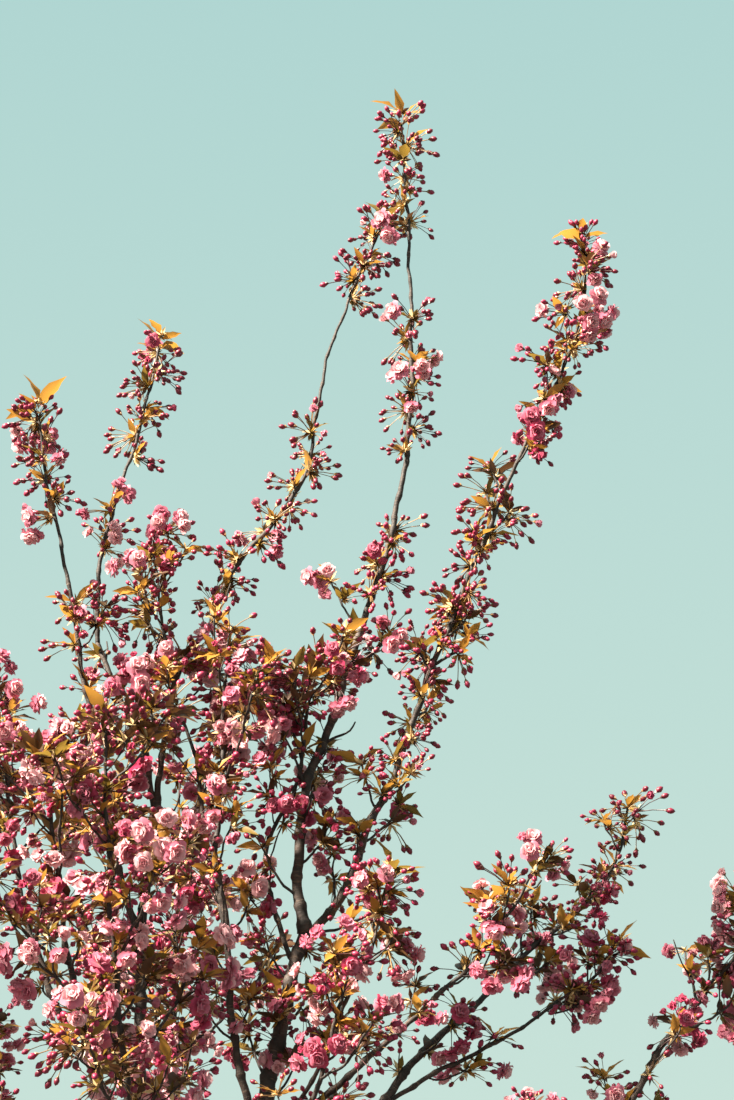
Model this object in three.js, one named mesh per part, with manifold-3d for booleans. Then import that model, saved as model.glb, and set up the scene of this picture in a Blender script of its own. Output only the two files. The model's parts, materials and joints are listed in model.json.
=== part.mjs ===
import * as THREE from 'three';
import { mergeVertices } from 'three/addons/utils/BufferGeometryUtils.js';
import Module from 'manifold-3d';

// A flowering cherry tree, in millimetres, +Z up.
// The origin is the centre of the flat cut under the trunk, at ground level.

const wasm = await Module();
wasm.setup();

// Driving dimensions of the trunk
const trunkHeight = 1700;
const trunkRadii = [97, 80];
const trunkLean = [4, 0, -4];
const trunkSides = 14;
const flareDepth = 0.75;
const flareHeight = 160;
const rootLobes = 5;
const lobeShare = 0.3;

// Driving dimensions of the limbs, stems and twigs
const seatGap = 0.5;
const limbSides = 6;
const limbRowStep = 200;
const stemSides = 4;
const stemRowStep = 160;
const stemShare = 0.94;
const stemSeat = 3;
const stemTipRadius = 2.8;
const twigSides = 3;
const twigRowStep = 250;
const twigShare = 0.7;
const twigRadii = [5, 2.3];
const twigSplit = 56;
const twigRise = [0.72, 0.4];
const twigSpan = [0.06, 0.9];
const twigShrink = 0.5;
const twigFlowering = [[0.3, 0.98]];

// Driving dimensions of the sprays of blossom and of the leaves
const sprayTilt = [46, 84];
const tipTilt = 12;
const tipRoot = 0.96;
const sprayWaist = 0.64;
const sprayWidth = 0.62;
const sprayRoom = 0.95;
const leafEvery = 4;
const leafWidth = 0.38;
const leafThickness = 0.09;
const leafWaist = 0.42;

// Room that each mass keeps to its neighbours and to the limbs
const massMargin = 10;
const limbMargin = 5;

const axisSteps = 24;
const goldenTurn = 137.5;
const degree = Math.PI / 180;

// Every limb leaves its parent at a fraction of the parent's length. Its bearing is measured from
// +X towards +Y. Its lean from the vertical is given at even steps from its start to its end, in
// degrees.
const limbs = [
  { name: 'leader_bough', parent: 'trunk', at: 0.985, bearing: 0, lean: [29, 0, 18], length: 1300,
    radii: [28, 13.5] },
  { name: 'leader_limb', parent: 'leader_bough', at: 0.99, bearing: 20, lean: [-14, 20, 16], length: 820,
    radii: [12.5, 8] },
  { name: 'right_limb', parent: 'leader_bough', at: 0.96, bearing: -12, lean: [47, 21, 29], length: 450,
    radii: [11, 7.5] },
  { name: 'centre_bough', parent: 'leader_bough', at: 0.62, bearing: 215, lean: [29, 3, 15], length: 660,
    radii: [9, 7] },
  { name: 'inner_limb', parent: 'leader_bough', at: 0.93, bearing: -20, lean: [-31, -8, 44], length: 430,
    radii: [6, 4.5] },
  { name: 'small_limb', parent: 'centre_bough', at: 0.72, bearing: 160, lean: [16, 11, 7], length: 420,
    radii: [6, 4.5] },
  { name: 'left_centre_bough', parent: 'trunk', at: 0.96, bearing: 170, lean: [7, 7, -8], length: 1610,
    radii: [22, 8.5] },
  { name: 'curved_limb', parent: 'left_centre_bough', at: 0.99, bearing: 15, lean: [3, 7, 40], length: 480,
    radii: [7.5, 6] },
  { name: 'left_inner_limb', parent: 'left_centre_bough', at: 0.97, bearing: 160, lean: [2, 27, 23],
    length: 490, radii: [8, 6] },
  { name: 'left_front_limb', parent: 'left_centre_bough', at: 0.8, bearing: 212, lean: [28, 11, 12],
    length: 740, radii: [8.5, 5.5] },
  { name: 'left_mid_limb', parent: 'left_centre_bough', at: 0.5, bearing: 190, lean: [38, 30, 18],
    length: 600, radii: [10, 6.5] },
  { name: 'lower_left_limb', parent: 'left_centre_bough', at: 0.3, bearing: 235, lean: [30, 28, 20],
    length: 700, radii: [12, 7.5] },
  { name: 'upper_right_bough', parent: 'leader_bough', at: 0.42, bearing: -22, lean: [-14, 57, 49],
    length: 760, radii: [10, 5] },
  { name: 'thin_limb', parent: 'leader_bough', at: 0.5, bearing: -35, lean: [18, 34, 27], length: 550,
    radii: [6, 3.8] },
  { name: 'lower_front_limb', parent: 'leader_bough', at: 0.3, bearing: 305, lean: [30, 30, 24], length: 520,
    radii: [9, 6] },
  { name: 'right_bough', parent: 'trunk', at: 0.98, bearing: 26, lean: [22, 28, 52], length: 1400,
    radii: [17, 7] },
  { name: 'right_side_limb', parent: 'right_bough', at: 0.72, bearing: 5, lean: [59, 60, 64], length: 390,
    radii: [6, 4.2] },
  { name: 'far_right_bough', parent: 'trunk', at: 0.9, bearing: 12, lean: [33, 56, 27], length: 1620,
    radii: [17, 7] },
  { name: 'left_bough', parent: 'trunk', at: 0.98, bearing: 182, lean: [38, 30, 22], length: 1100,
    radii: [24, 12] },
  { name: 'left_upper_limb', parent: 'left_bough', at: 0.99, bearing: 165, lean: [15, 8, 12], length: 650,
    radii: [11, 7.5] },
  { name: 'left_outer_limb', parent: 'left_bough', at: 0.9, bearing: 198, lean: [60, 48, 32], length: 450,
    radii: [10, 6.5] },
  { name: 'left_low_bough', parent: 'trunk', at: 0.84, bearing: 207, lean: [62, 68, 60], length: 850,
    radii: [18, 7.5] },
  { name: 'front_left_bough', parent: 'trunk', at: 0.9, bearing: 230, lean: [48, 46, 34], length: 900,
    radii: [20, 8] },
  { name: 'front_bough', parent: 'trunk', at: 0.94, bearing: 262, lean: [36, 36, 30], length: 850,
    radii: [20, 8] },
  { name: 'front_low_bough', parent: 'trunk', at: 0.8, bearing: 286, lean: [65, 68, 58], length: 750,
    radii: [17, 7.5] },
  { name: 'front_right_bough', parent: 'trunk', at: 0.86, bearing: 322, lean: [58, 62, 60], length: 750,
    radii: [17, 7.5] },
  { name: 'right_low_bough', parent: 'trunk', at: 0.82, bearing: 350, lean: [62, 66, 62], length: 850,
    radii: [17, 7.5] },
  { name: 'back_right_bough', parent: 'trunk', at: 0.9, bearing: 48, lean: [52, 56, 54], length: 900,
    radii: [18, 7.5] },
  { name: 'back_bough', parent: 'trunk', at: 0.96, bearing: 98, lean: [34, 34, 28], length: 950,
    radii: [21, 8.5] },
  { name: 'back_left_bough', parent: 'trunk', at: 0.92, bearing: 138, lean: [44, 44, 36], length: 950,
    radii: [20, 8.5] },
  { name: 'back_low_bough', parent: 'trunk', at: 0.78, bearing: 78, lean: [64, 68, 60], length: 800,
    radii: [17, 7.5] },
];

// Every mass grows from the tip of one limb. It carries side twigs, the longest of them as long as
// its reach, and sprays over the flowering stretches of its stem.
const wholeStem = [[0.04, 1]];
const masses = [
  { name: 'leader_shoot', limb: 'leader_limb', bearing: 15, lean: [20, 0, -4], length: 1360,
    twigs: 0, reach: 0, spray: 94, step: 50, flowering: [[0.01, 0.18], [0.31, 0.6], [0.77, 1]] },
  { name: 'right_shoot', limb: 'right_limb', bearing: -12, lean: [17, 23, 22, 29, -7], length: 1420,
    twigs: 3, reach: 110, spray: 94, step: 58, flowering: [[0.01, 0.5], [0.62, 0.84], [0.9, 1]] },
  { name: 'centre_shoot', limb: 'centre_bough', bearing: 200, lean: [-7, 0, -4], length: 480,
    twigs: 9, reach: 320, spray: 112, step: 82, flowering: wholeStem },
  { name: 'inner_shoot', limb: 'inner_limb', bearing: -20, lean: [15, 6, 15], length: 330,
    twigs: 7, reach: 260, spray: 108, step: 82, flowering: wholeStem },
  { name: 'small_shoot', limb: 'small_limb', bearing: 190, lean: [23, 10, 9], length: 520,
    twigs: 5, reach: 200, spray: 104, step: 82, flowering: [[0.2, 1]] },
  { name: 'curved_shoot', limb: 'curved_limb', bearing: 15, lean: [13, 42, 4, 19, 23], length: 1220,
    twigs: 0, reach: 0, spray: 94, step: 52, flowering: [[0.02, 0.5], [0.8, 1]] },
  { name: 'left_inner_shoot', limb: 'left_inner_limb', bearing: 20, lean: [-6, 17, 8], length: 820,
    twigs: 0, reach: 0, spray: 94, step: 56, flowering: [[0.02, 0.1], [0.27, 0.45], [0.6, 1]] },
  { name: 'left_front_shoot', limb: 'left_front_limb', bearing: 190, lean: [10, 15, 7], length: 550,
    twigs: 0, reach: 0, spray: 94, step: 56, flowering: [[0.02, 0.16], [0.48, 1]] },
  { name: 'left_mid_shoot', limb: 'left_mid_limb', bearing: 190, lean: [12, 8, 10], length: 560,
    twigs: 7, reach: 380, spray: 132, step: 150, flowering: wholeStem },
  { name: 'lower_left_shoot', limb: 'lower_left_limb', bearing: 230, lean: [18, 12, 8], length: 520,
    twigs: 7, reach: 340, spray: 132, step: 150, flowering: wholeStem },
  { name: 'upper_right_shoot', limb: 'upper_right_bough', bearing: -15, lean: [55, 37, 26], length: 360,
    twigs: 4, reach: 120, spray: 116, step: 92, flowering: wholeStem },
  { name: 'thin_shoot', limb: 'thin_limb', bearing: -35, lean: [44, 13, 20], length: 230,
    twigs: 3, reach: 110, spray: 100, step: 92, flowering: wholeStem },
  { name: 'lower_front_shoot', limb: 'lower_front_limb', bearing: 320, lean: [25, 20, 15], length: 330,
    twigs: 3, reach: 200, spray: 126, step: 150, flowering: wholeStem },
  { name: 'right_outer_shoot', limb: 'right_bough', bearing: 16, lean: [42, 52, 5], length: 660,
    twigs: 5, reach: 130, spray: 108, step: 82, flowering: wholeStem },
  { name: 'right_side_shoot', limb: 'right_side_limb', bearing: -5, lean: [53, 60, 34], length: 280,
    twigs: 2, reach: 110, spray: 98, step: 84, flowering: wholeStem },
  { name: 'far_right_shoot', limb: 'far_right_bough', bearing: 12, lean: [41, 42, 14], length: 540,
    twigs: 6, reach: 160, spray: 110, step: 92, flowering: wholeStem },
  { name: 'left_upper_shoot', limb: 'left_upper_limb', bearing: 180, lean: [10, 2, 6], length: 1050,
    twigs: 7, reach: 320, spray: 122, step: 150, flowering: [[0.04, 0.5], [0.62, 1]] },
  { name: 'left_outer_shoot', limb: 'left_outer_limb', bearing: 190, lean: [32, 22, 8], length: 820,
    twigs: 7, reach: 400, spray: 132, step: 150, flowering: wholeStem },
  { name: 'left_low_shoot', limb: 'left_low_bough', bearing: 200, lean: [58, 44, 18], length: 850,
    twigs: 7, reach: 420, spray: 136, step: 150, flowering: wholeStem },
  { name: 'front_left_shoot', limb: 'front_left_bough', bearing: 225, lean: [34, 24, 8], length: 950,
    twigs: 7, reach: 420, spray: 134, step: 150, flowering: wholeStem },
  { name: 'front_shoot', limb: 'front_bough', bearing: 255, lean: [30, 18, 6], length: 960,
    twigs: 7, reach: 380, spray: 134, step: 150, flowering: wholeStem },
  { name: 'front_low_shoot', limb: 'front_low_bough', bearing: 290, lean: [56, 42, 18], length: 760,
    twigs: 6, reach: 420, spray: 136, step: 150, flowering: wholeStem },
  { name: 'front_right_shoot', limb: 'front_right_bough', bearing: 325, lean: [62, 60, 46], length: 760,
    twigs: 6, reach: 340, spray: 134, step: 150, flowering: wholeStem },
  { name: 'right_low_shoot', limb: 'right_low_bough', bearing: 355, lean: [62, 54, 34], length: 840,
    twigs: 6, reach: 380, spray: 134, step: 150, flowering: wholeStem },
  { name: 'back_right_shoot', limb: 'back_right_bough', bearing: 45, lean: [54, 46, 34], length: 850,
    twigs: 6, reach: 340, spray: 134, step: 150, flowering: wholeStem },
  { name: 'back_shoot', limb: 'back_bough', bearing: 95, lean: [28, 16, 4], length: 1160,
    twigs: 8, reach: 440, spray: 134, step: 150, flowering: wholeStem },
  { name: 'back_left_shoot', limb: 'back_left_bough', bearing: 140, lean: [36, 24, 6], length: 1120,
    twigs: 8, reach: 440, spray: 134, step: 150, flowering: wholeStem },
  { name: 'back_low_shoot', limb: 'back_low_bough', bearing: 75, lean: [58, 42, 20], length: 780,
    twigs: 6, reach: 420, spray: 136, step: 150, flowering: wholeStem },
];

const barkMaterial = { color: 0x3b2a22, roughness: 0.86, metalness: 0 };
const blossomMaterial = { color: 0xc9506f, roughness: 0.62, metalness: 0 };

// A repeatable source of numbers from 0 to 1
function dice(seed) {
  let state = seed >>> 0;
  return () => {
    state = (state + 0x6d2b79f5) >>> 0;
    let mixed = Math.imul(state ^ (state >>> 15), 1 | state);
    mixed = (mixed + Math.imul(mixed ^ (mixed >>> 7), 61 | mixed)) ^ mixed;
    return ((mixed ^ (mixed >>> 14)) >>> 0) / 4294967296;
  };
}

function between(low, high, share) {
  return low + (high - low) * share;
}

// The line down the middle of a limb, stem or twig. It stays in one upright plane.
class Axis {
  constructor(start, bearing, lean, length) {
    this.bearing = bearing;
    this.lean = lean;
    this.length = length;
    this.points = [start.clone()];
    for (let step = 0; step < axisSteps; step += 1) {
      const next = this.points[step].clone();
      next.addScaledVector(this.direction((step + 0.5) / axisSteps), length / axisSteps);
      this.points.push(next);
    }
  }

  leanAt(fraction) {
    const place = fraction * (this.lean.length - 1);
    const index = Math.min(Math.floor(place), this.lean.length - 2);
    return between(this.lean[index], this.lean[index + 1], place - index);
  }

  direction(fraction) {
    const lean = this.leanAt(fraction) * degree;
    const bearing = this.bearing * degree;
    return new THREE.Vector3(
      Math.sin(lean) * Math.cos(bearing),
      Math.sin(lean) * Math.sin(bearing),
      Math.cos(lean),
    );
  }

  sideways() {
    return new THREE.Vector3(-Math.sin(this.bearing * degree), Math.cos(this.bearing * degree), 0);
  }

  at(fraction) {
    const place = fraction * axisSteps;
    const index = Math.min(Math.floor(place), axisSteps - 1);
    return this.points[index].clone().lerp(this.points[index + 1], place - index);
  }

  // The point at a fraction of the length on the straight runs between even rows
  onRows(fraction, rows) {
    const place = fraction * rows;
    const index = Math.min(Math.floor(place), rows - 1);
    return this.at(index / rows).lerp(this.at((index + 1) / rows), place - index);
  }

  // Distance from a point to the line, and the fraction of the length where it is met
  nearest(point) {
    const found = { distance: Infinity, fraction: 0 };
    const segment = new THREE.Line3();
    const foot = new THREE.Vector3();
    for (let index = 0; index < axisSteps; index += 1) {
      segment.set(this.points[index], this.points[index + 1]);
      const share = segment.closestPointToPointParameter(point, true);
      segment.at(share, foot);
      const distance = foot.distanceTo(point);
      if (distance < found.distance) {
        found.distance = distance;
        found.fraction = (index + share) / axisSteps;
      }
    }
    return found;
  }
}

// Moves the rows of a cylinder onto the rings given, from the foot to the tip. A ring has a centre,
// two directions across and a radius for each angle round it.
function bentCylinder(rings, sides) {
  const geometry = new THREE.CylinderGeometry(1, 1, 1, sides, rings.length - 1);
  const position = geometry.getAttribute('position');
  const vertex = new THREE.Vector3();
  for (let index = 0; index < position.count; index += 1) {
    vertex.fromBufferAttribute(position, index);
    const ring = rings[Math.round((vertex.y + 0.5) * (rings.length - 1))];
    const radius = ring.radiusAt(Math.atan2(vertex.x, vertex.z));
    const moved = ring.centre.clone();
    moved.addScaledVector(ring.across, vertex.x * radius);
    moved.addScaledVector(ring.over, vertex.z * radius);
    position.setXYZ(index, moved.x, moved.y, moved.z);
  }
  return geometry;
}

function rowsAlong(axis, rowStep) {
  return Math.max(2, Math.round(axis.length / rowStep));
}

function ringsAlong(axis, radii, rowStep, extra = 0) {
  const rows = rowsAlong(axis, rowStep);
  const across = axis.sideways();
  const rings = [];
  for (let row = 0; row <= rows; row += 1) {
    const fraction = row / rows;
    const along = axis.direction(fraction);
    const radius = between(radii[0], radii[1], fraction) + extra;
    rings.push({
      centre: axis.at(fraction),
      across,
      over: across.clone().cross(along),
      radiusAt: () => radius,
    });
  }
  return rings;
}

// The trunk's rings are level, so that its foot is a flat cut, and its foot spreads in lobes
function trunkRings(axis, extra = 0) {
  const heights = [0, 0.03, 0.08, 0.15, 0.25, 0.4, 0.6, 0.8, 0.95, 1];
  const shoulder = 0.93;
  return heights.map((fraction) => {
    const centre = axis.at(fraction);
    const plain = between(trunkRadii[0], trunkRadii[1], fraction) * (fraction === 1 ? shoulder : 1);
    const flare = flareDepth * Math.exp(-centre.z / flareHeight);
    return {
      centre,
      across: new THREE.Vector3(1, 0, 0),
      over: new THREE.Vector3(0, -1, 0),
      radiusAt: (angle) => plain * (1 + flare * (1 + lobeShare * Math.cos(rootLobes * angle))) + extra,
    };
  });
}

// A closed solid of a geometry whose shared corners are merged
function solidOf(geometry) {
  geometry.deleteAttribute('normal');
  geometry.deleteAttribute('uv');
  const merged = mergeVertices(geometry);
  return new wasm.Manifold(new wasm.Mesh({
    numProp: 3,
    vertProperties: new Float32Array(merged.getAttribute('position').array),
    triVerts: new Uint32Array(merged.getIndex().array),
  }));
}

// The largest body of a solid, with sealed hollows filled and loose scraps dropped
function mainBody(solid) {
  return solid.decompose().reduce((best, piece) => (piece.volume() > best.volume() ? piece : best));
}

function meshOf(name, solid, look) {
  const { vertProperties, triVerts } = solid.getMesh();
  const geometry = new THREE.BufferGeometry();
  geometry.setAttribute('position', new THREE.BufferAttribute(vertProperties, 3));
  geometry.setIndex(new THREE.BufferAttribute(triVerts, 1));
  geometry.computeVertexNormals();
  const mesh = new THREE.Mesh(geometry, new THREE.MeshStandardMaterial(look));
  mesh.name = name;
  return mesh;
}

// A spray of blossom or a leaf: two slim pyramids on a shared waist, from its root to its tip
function sprayGeometry({ root, direction, spin, length, width, thickness, waist, sides }) {
  const geometry = new THREE.SphereGeometry(1, sides, 2);
  const position = geometry.getAttribute('position');
  for (let index = 0; index < position.count; index += 1) {
    const height = position.getY(index);
    const share = Math.abs(height) < 0.5 ? waist : Math.round((height + 1) / 2);
    position.setXYZ(
      index,
      position.getX(index) * width * 0.5,
      position.getZ(index) * thickness * -0.5,
      share * length,
    );
  }
  geometry.rotateZ(spin);
  geometry.applyQuaternion(new THREE.Quaternion().setFromUnitVectors(new THREE.Vector3(0, 0, 1), direction));
  geometry.translate(root.x, root.y, root.z);
  return geometry;
}

// A direction tilted away from an axis, and turned about it
function tiltedFrom(along, turn, tilt) {
  const across = new THREE.Vector3(0, 0, 1).cross(along);
  if (across.lengthSq() < 1e-6) {
    across.set(1, 0, 0);
  }
  across.normalize().applyAxisAngle(along, turn * degree);
  return along.clone().applyAxisAngle(across, tilt * degree);
}

const limbData = new Map();
limbData.set('trunk', {
  axis: new Axis(new THREE.Vector3(), 0, trunkLean, trunkHeight),
  radii: trunkRadii,
});
for (const limb of limbs) {
  const start = limbData.get(limb.parent).axis.at(limb.at);
  const axis = new Axis(start, limb.bearing, limb.lean, limb.length);
  limbData.set(limb.name, { axis, radii: limb.radii });
}

const stemData = new Map();
for (const mass of masses) {
  const limb = limbData.get(mass.limb);
  const start = limb.axis.at(1).addScaledVector(limb.axis.direction(1), -stemSeat);
  stemData.set(mass.name, {
    axis: new Axis(start, mass.bearing, mass.lean, mass.length),
    radii: [limb.radii[1] * stemShare, stemTipRadius],
  });
}

// Whether points with a given room round them are in a mass's own space and clear of every limb
function isClear(mass, points, room) {
  const own = stemData.get(mass.name).axis;
  return points.every((point) => {
    const reach = own.nearest(point).distance + massMargin + room;
    for (const [name, stem] of stemData) {
      if (name !== mass.name && stem.axis.nearest(point).distance < reach) {
        return false;
      }
    }
    for (const limb of limbData.values()) {
      const found = limb.axis.nearest(point);
      const radius = between(limb.radii[0], limb.radii[1], found.fraction);
      if (found.distance < radius + limbMargin + room) {
        return false;
      }
    }
    return true;
  });
}

// A solid of a limb, grown by a gap on every side when a gap is given
function limbSolid(name, gap = 0) {
  const { axis, radii } = limbData.get(name);
  const isTrunk = name === 'trunk';
  const rings = isTrunk ? trunkRings(axis, gap) : ringsAlong(axis, radii, limbRowStep, gap);
  rings[0].centre.addScaledVector(axis.direction(0), -gap);
  rings[rings.length - 1].centre.addScaledVector(axis.direction(1), gap);
  return solidOf(bentCylinder(rings, isTrunk ? trunkSides : limbSides));
}

// A side twig leaves its stem at a wide angle and rises towards its tip
function sideTwig(stem, fraction, turn, split, length) {
  const direction = tiltedFrom(stem.direction(fraction), turn, split);
  const bearing = Math.atan2(direction.y, direction.x) / degree;
  const lean = Math.acos(direction.z) / degree;
  const start = stem.onRows(fraction, rowsAlong(stem, stemRowStep));
  return new Axis(start, bearing, [lean, lean * twigRise[0], lean * twigRise[1]], length);
}

// The stem of a mass and those of its side twigs that keep to its own space
function carriersOf(mass, roll) {
  const stem = stemData.get(mass.name);
  const carriers = [{ axis: stem.axis, rowStep: stemRowStep, flowering: mass.flowering }];
  for (let index = 0; index < mass.twigs; index += 1) {
    const fraction = between(twigSpan[0], twigSpan[1], (index + 0.5) / mass.twigs);
    const length = mass.reach * between(1, twigShrink, fraction) * between(0.85, 1.15, roll());
    const split = twigSplit * between(0.8, 1.2, roll());
    const axis = sideTwig(stem.axis, fraction, index * goldenTurn, split, length);
    const outer = [0.35, 0.55, 0.75, 1].map((share) => axis.at(share));
    if (isClear(mass, outer, twigRadii[0])) {
      const foot = Math.min(twigRadii[0], twigShare * between(stem.radii[0], stem.radii[1], fraction));
      carriers.push({ axis, rowStep: twigRowStep, radii: [foot, twigRadii[1]], flowering: twigFlowering });
    }
  }
  return carriers;
}

// One spray of blossom, or one leaf, that stands out of a stem or twig
function sprayAt(mass, carrier, { fraction, turn, isLeaf, isTip }, placed, roll) {
  const tilt = isTip ? tipTilt : between(sprayTilt[0], sprayTilt[1], roll());
  const length = mass.spray * between(0.85, 1.1, roll());
  const spin = roll() * Math.PI;
  const root = carrier.axis.onRows(fraction, rowsAlong(carrier.axis, carrier.rowStep));
  const direction = tiltedFrom(carrier.axis.direction(fraction), turn, tilt);
  const width = length * (isLeaf ? leafWidth : sprayWidth);
  const reach = [0.4, 0.7, 1].map((share) => root.clone().addScaledVector(direction, length * share));
  const room = width * sprayRoom;
  const crowded = placed.some((other) => reach.some((point) => other.distanceTo(point) < room));
  if (crowded || !isClear(mass, reach, width * 0.5)) {
    return null;
  }
  placed.push(reach[1], reach[2]);
  const shape = isLeaf
    ? { width, thickness: length * leafThickness, waist: leafWaist, sides: 4 }
    : { width, thickness: width, waist: sprayWaist, sides: 3 };
  return solidOf(sprayGeometry({ root, direction, spin, length, ...shape }));
}

// The places of the sprays up a stem or twig: even steps over its flowering stretches, and its tip
function sprayPlaces(mass, carrier) {
  const places = [];
  for (const [from, to] of carrier.flowering) {
    const number = Math.max(1, Math.round((carrier.axis.length * (to - from)) / mass.step));
    for (let index = 0; index < number; index += 1) {
      places.push({ fraction: between(from, to, (index + 0.5) / number), isTip: false });
    }
  }
  places.push({ fraction: tipRoot, isTip: true });
  return places.map((place, count) => ({
    ...place,
    turn: count * goldenTurn,
    isLeaf: !place.isTip && count % leafEvery === leafEvery - 1,
  }));
}

function massSolid(mass, seed) {
  const roll = dice(seed);
  const stem = stemData.get(mass.name);
  const stemBody = solidOf(bentCylinder(ringsAlong(stem.axis, stem.radii, stemRowStep), stemSides));
  const pieces = [stemBody.subtract(limbSolid(mass.limb, seatGap))];
  const placed = [];
  for (const carrier of carriersOf(mass, roll)) {
    if (carrier.axis !== stem.axis) {
      pieces.push(solidOf(bentCylinder(ringsAlong(carrier.axis, carrier.radii, twigRowStep), twigSides)));
    }
    for (const place of sprayPlaces(mass, carrier)) {
      const spray = sprayAt(mass, carrier, place, placed, roll);
      if (spray !== null) {
        pieces.push(spray);
      }
    }
  }
  return mainBody(wasm.Manifold.union(pieces));
}

const group = new THREE.Group();
group.add(meshOf('trunk', limbSolid('trunk'), barkMaterial));
const takenRoom = [limbSolid('trunk', seatGap)];
for (const limb of limbs) {
  const cut = takenRoom.reduce((solid, other) => solid.subtract(other), limbSolid(limb.name));
  group.add(meshOf(limb.name, mainBody(cut), barkMaterial));
  takenRoom.push(limbSolid(limb.name, seatGap));
}
masses.forEach((mass, index) => {
  group.add(meshOf(mass.name, massSolid(mass, index + 1), blossomMaterial));
});

export default group;
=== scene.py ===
import json
import logging
import math
from dataclasses import dataclass, field
from enum import Enum
from typing import Any, Iterable, Sequence

import bmesh
import bpy
import numpy as np
from mathutils import Matrix, Vector

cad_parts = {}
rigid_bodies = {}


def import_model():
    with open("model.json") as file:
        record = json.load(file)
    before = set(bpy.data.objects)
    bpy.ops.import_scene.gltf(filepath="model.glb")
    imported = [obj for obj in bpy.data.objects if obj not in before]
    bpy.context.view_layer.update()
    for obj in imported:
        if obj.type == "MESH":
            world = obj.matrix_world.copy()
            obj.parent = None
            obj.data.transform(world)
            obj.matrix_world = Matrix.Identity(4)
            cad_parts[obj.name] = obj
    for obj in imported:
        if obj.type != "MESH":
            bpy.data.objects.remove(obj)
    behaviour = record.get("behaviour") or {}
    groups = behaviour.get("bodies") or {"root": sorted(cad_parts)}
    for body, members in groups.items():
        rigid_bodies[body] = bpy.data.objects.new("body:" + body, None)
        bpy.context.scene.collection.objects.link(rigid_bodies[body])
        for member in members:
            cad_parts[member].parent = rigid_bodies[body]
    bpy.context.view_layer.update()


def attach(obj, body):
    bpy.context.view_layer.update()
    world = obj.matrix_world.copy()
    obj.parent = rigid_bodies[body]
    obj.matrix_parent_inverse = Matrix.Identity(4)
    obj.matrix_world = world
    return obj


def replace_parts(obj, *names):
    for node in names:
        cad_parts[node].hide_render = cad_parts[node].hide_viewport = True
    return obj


# A flowering cherry tree. The limbs, stems and side twigs are worked out by the rule of the solids,
# in millimetres, and carried on to finer twigs, spurs, buds, blossoms and leaves. Meshes are in metres.

log = logging.getLogger("cherry_tree")

Vectors = np.ndarray
Mesh = tuple[np.ndarray, list[tuple[int, ...]]]
Triple = tuple[float, float, float]
Colour = Triple
Span = tuple[float, float]

MILLIMETRE = 0.001
DEGREE = math.pi / 180
UP = Vector((0.0, 0.0, 1.0))
SIDEWAYS = Vector((1.0, 0.0, 0.0))

# How short the part of a direction that lies across an axis may be, and the part that hangs down.
SHORTEST_ACROSS = 0.001
SHORTEST_DOWN = 0.05

# The turn from one twig or bud to the next, in degrees, and the steps that a line is traced in.
GOLDEN_TURN = 137.5
AXIS_STEPS = 24

# How deep a mass's stem is seated in its limb, and the bloom of a spur that is open for certain.
STEM_SEAT = 3.0
SURE_BLOOM = 9.0

# The largest number of the dice, and the stride from one number to the next.
WORD = 0xFFFFFFFF
STRIDE = 0x6D2B79F5

# The direction that sets where the seam of a tube runs, and how far its two ends bulge, as shares
# of its radius.
SEAM = (0.3, -0.9, 0.2)
BULGES = (0.35, 0.5)


def between(low: float, high: float, share: float) -> float:
    """The value a share of the way from low to high."""
    return low + (high - low) * share


class Dice:
    """A repeatable source of numbers from 0 to 1, the same as the one behind the solids."""

    def __init__(self, seed: int) -> None:
        """Starts the dice at a seed."""
        self.state = seed & WORD

    def __call__(self) -> float:
        """The next number.

        Returns:
            A number from 0 up to 1.
        """
        self.state = (self.state + STRIDE) & WORD
        mixed = ((self.state ^ (self.state >> 15)) * (1 | self.state)) & WORD
        mixed = (mixed + (((mixed ^ (mixed >> 7)) * (61 | mixed)) & WORD)) & WORD ^ mixed
        return ((mixed ^ (mixed >> 14)) & WORD) / (WORD + 1)

    def span(self, low: float, high: float) -> float:
        """The next number, spread from low to high."""
        return between(low, high, self())


class Axis:
    """The line down the middle of a limb, stem or twig, in one upright plane, in millimetres."""

    def __init__(self, start: Vectors, bearing: float, lean: Sequence[float], length: float) -> None:
        """Traces the line.

        Args:
            start: The point where it begins.
            bearing: Its bearing from +X towards +Y, in degrees.
            lean: Its lean from the vertical at even steps along it, in degrees.
            length: Its length.
        """
        self.bearing = bearing
        self.lean = np.asarray(lean, float)
        self.length = length
        middles = (np.arange(AXIS_STEPS) + 0.5) / AXIS_STEPS
        steps = self.direction(middles) * (length / AXIS_STEPS)
        self.points = np.vstack([start, start + np.cumsum(steps, axis=0)])

    def direction(self, fraction: float | Vectors) -> Vectors:
        """The direction of the line at one fraction of its length, or at several.

        Args:
            fraction: Where on the line, from 0 at its start to 1 at its end.

        Returns:
            A direction of length 1 for each fraction.
        """
        knots = np.linspace(0, 1, len(self.lean))
        lean = np.interp(fraction, knots, self.lean) * DEGREE
        bearing = self.bearing * DEGREE
        parts = (np.sin(lean) * math.cos(bearing), np.sin(lean) * math.sin(bearing), np.cos(lean))
        return np.stack(parts, axis=-1)

    def at(self, fraction: float | Vectors) -> Vectors:
        """The point at one fraction of the length, or the points at several."""
        knots = np.linspace(0, 1, AXIS_STEPS + 1)
        return np.stack([np.interp(fraction, knots, self.points[:, k]) for k in range(3)], axis=-1)


def tilted_from(along: Vector, turn: float, tilt: float) -> Vector:
    """A direction tilted away from an axis and turned about it, both in degrees.

    Args:
        along: The axis, of length 1.
        turn: The turn about the axis.
        tilt: The tilt away from it.

    Returns:
        The direction, of length 1.
    """
    across = UP.cross(along)
    if across.length < SHORTEST_ACROSS:
        across = SIDEWAYS.copy()
    across.normalize()
    across = Matrix.Rotation(turn * DEGREE, 3, along) @ across
    return Matrix.Rotation(tilt * DEGREE, 3, across) @ along


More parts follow.
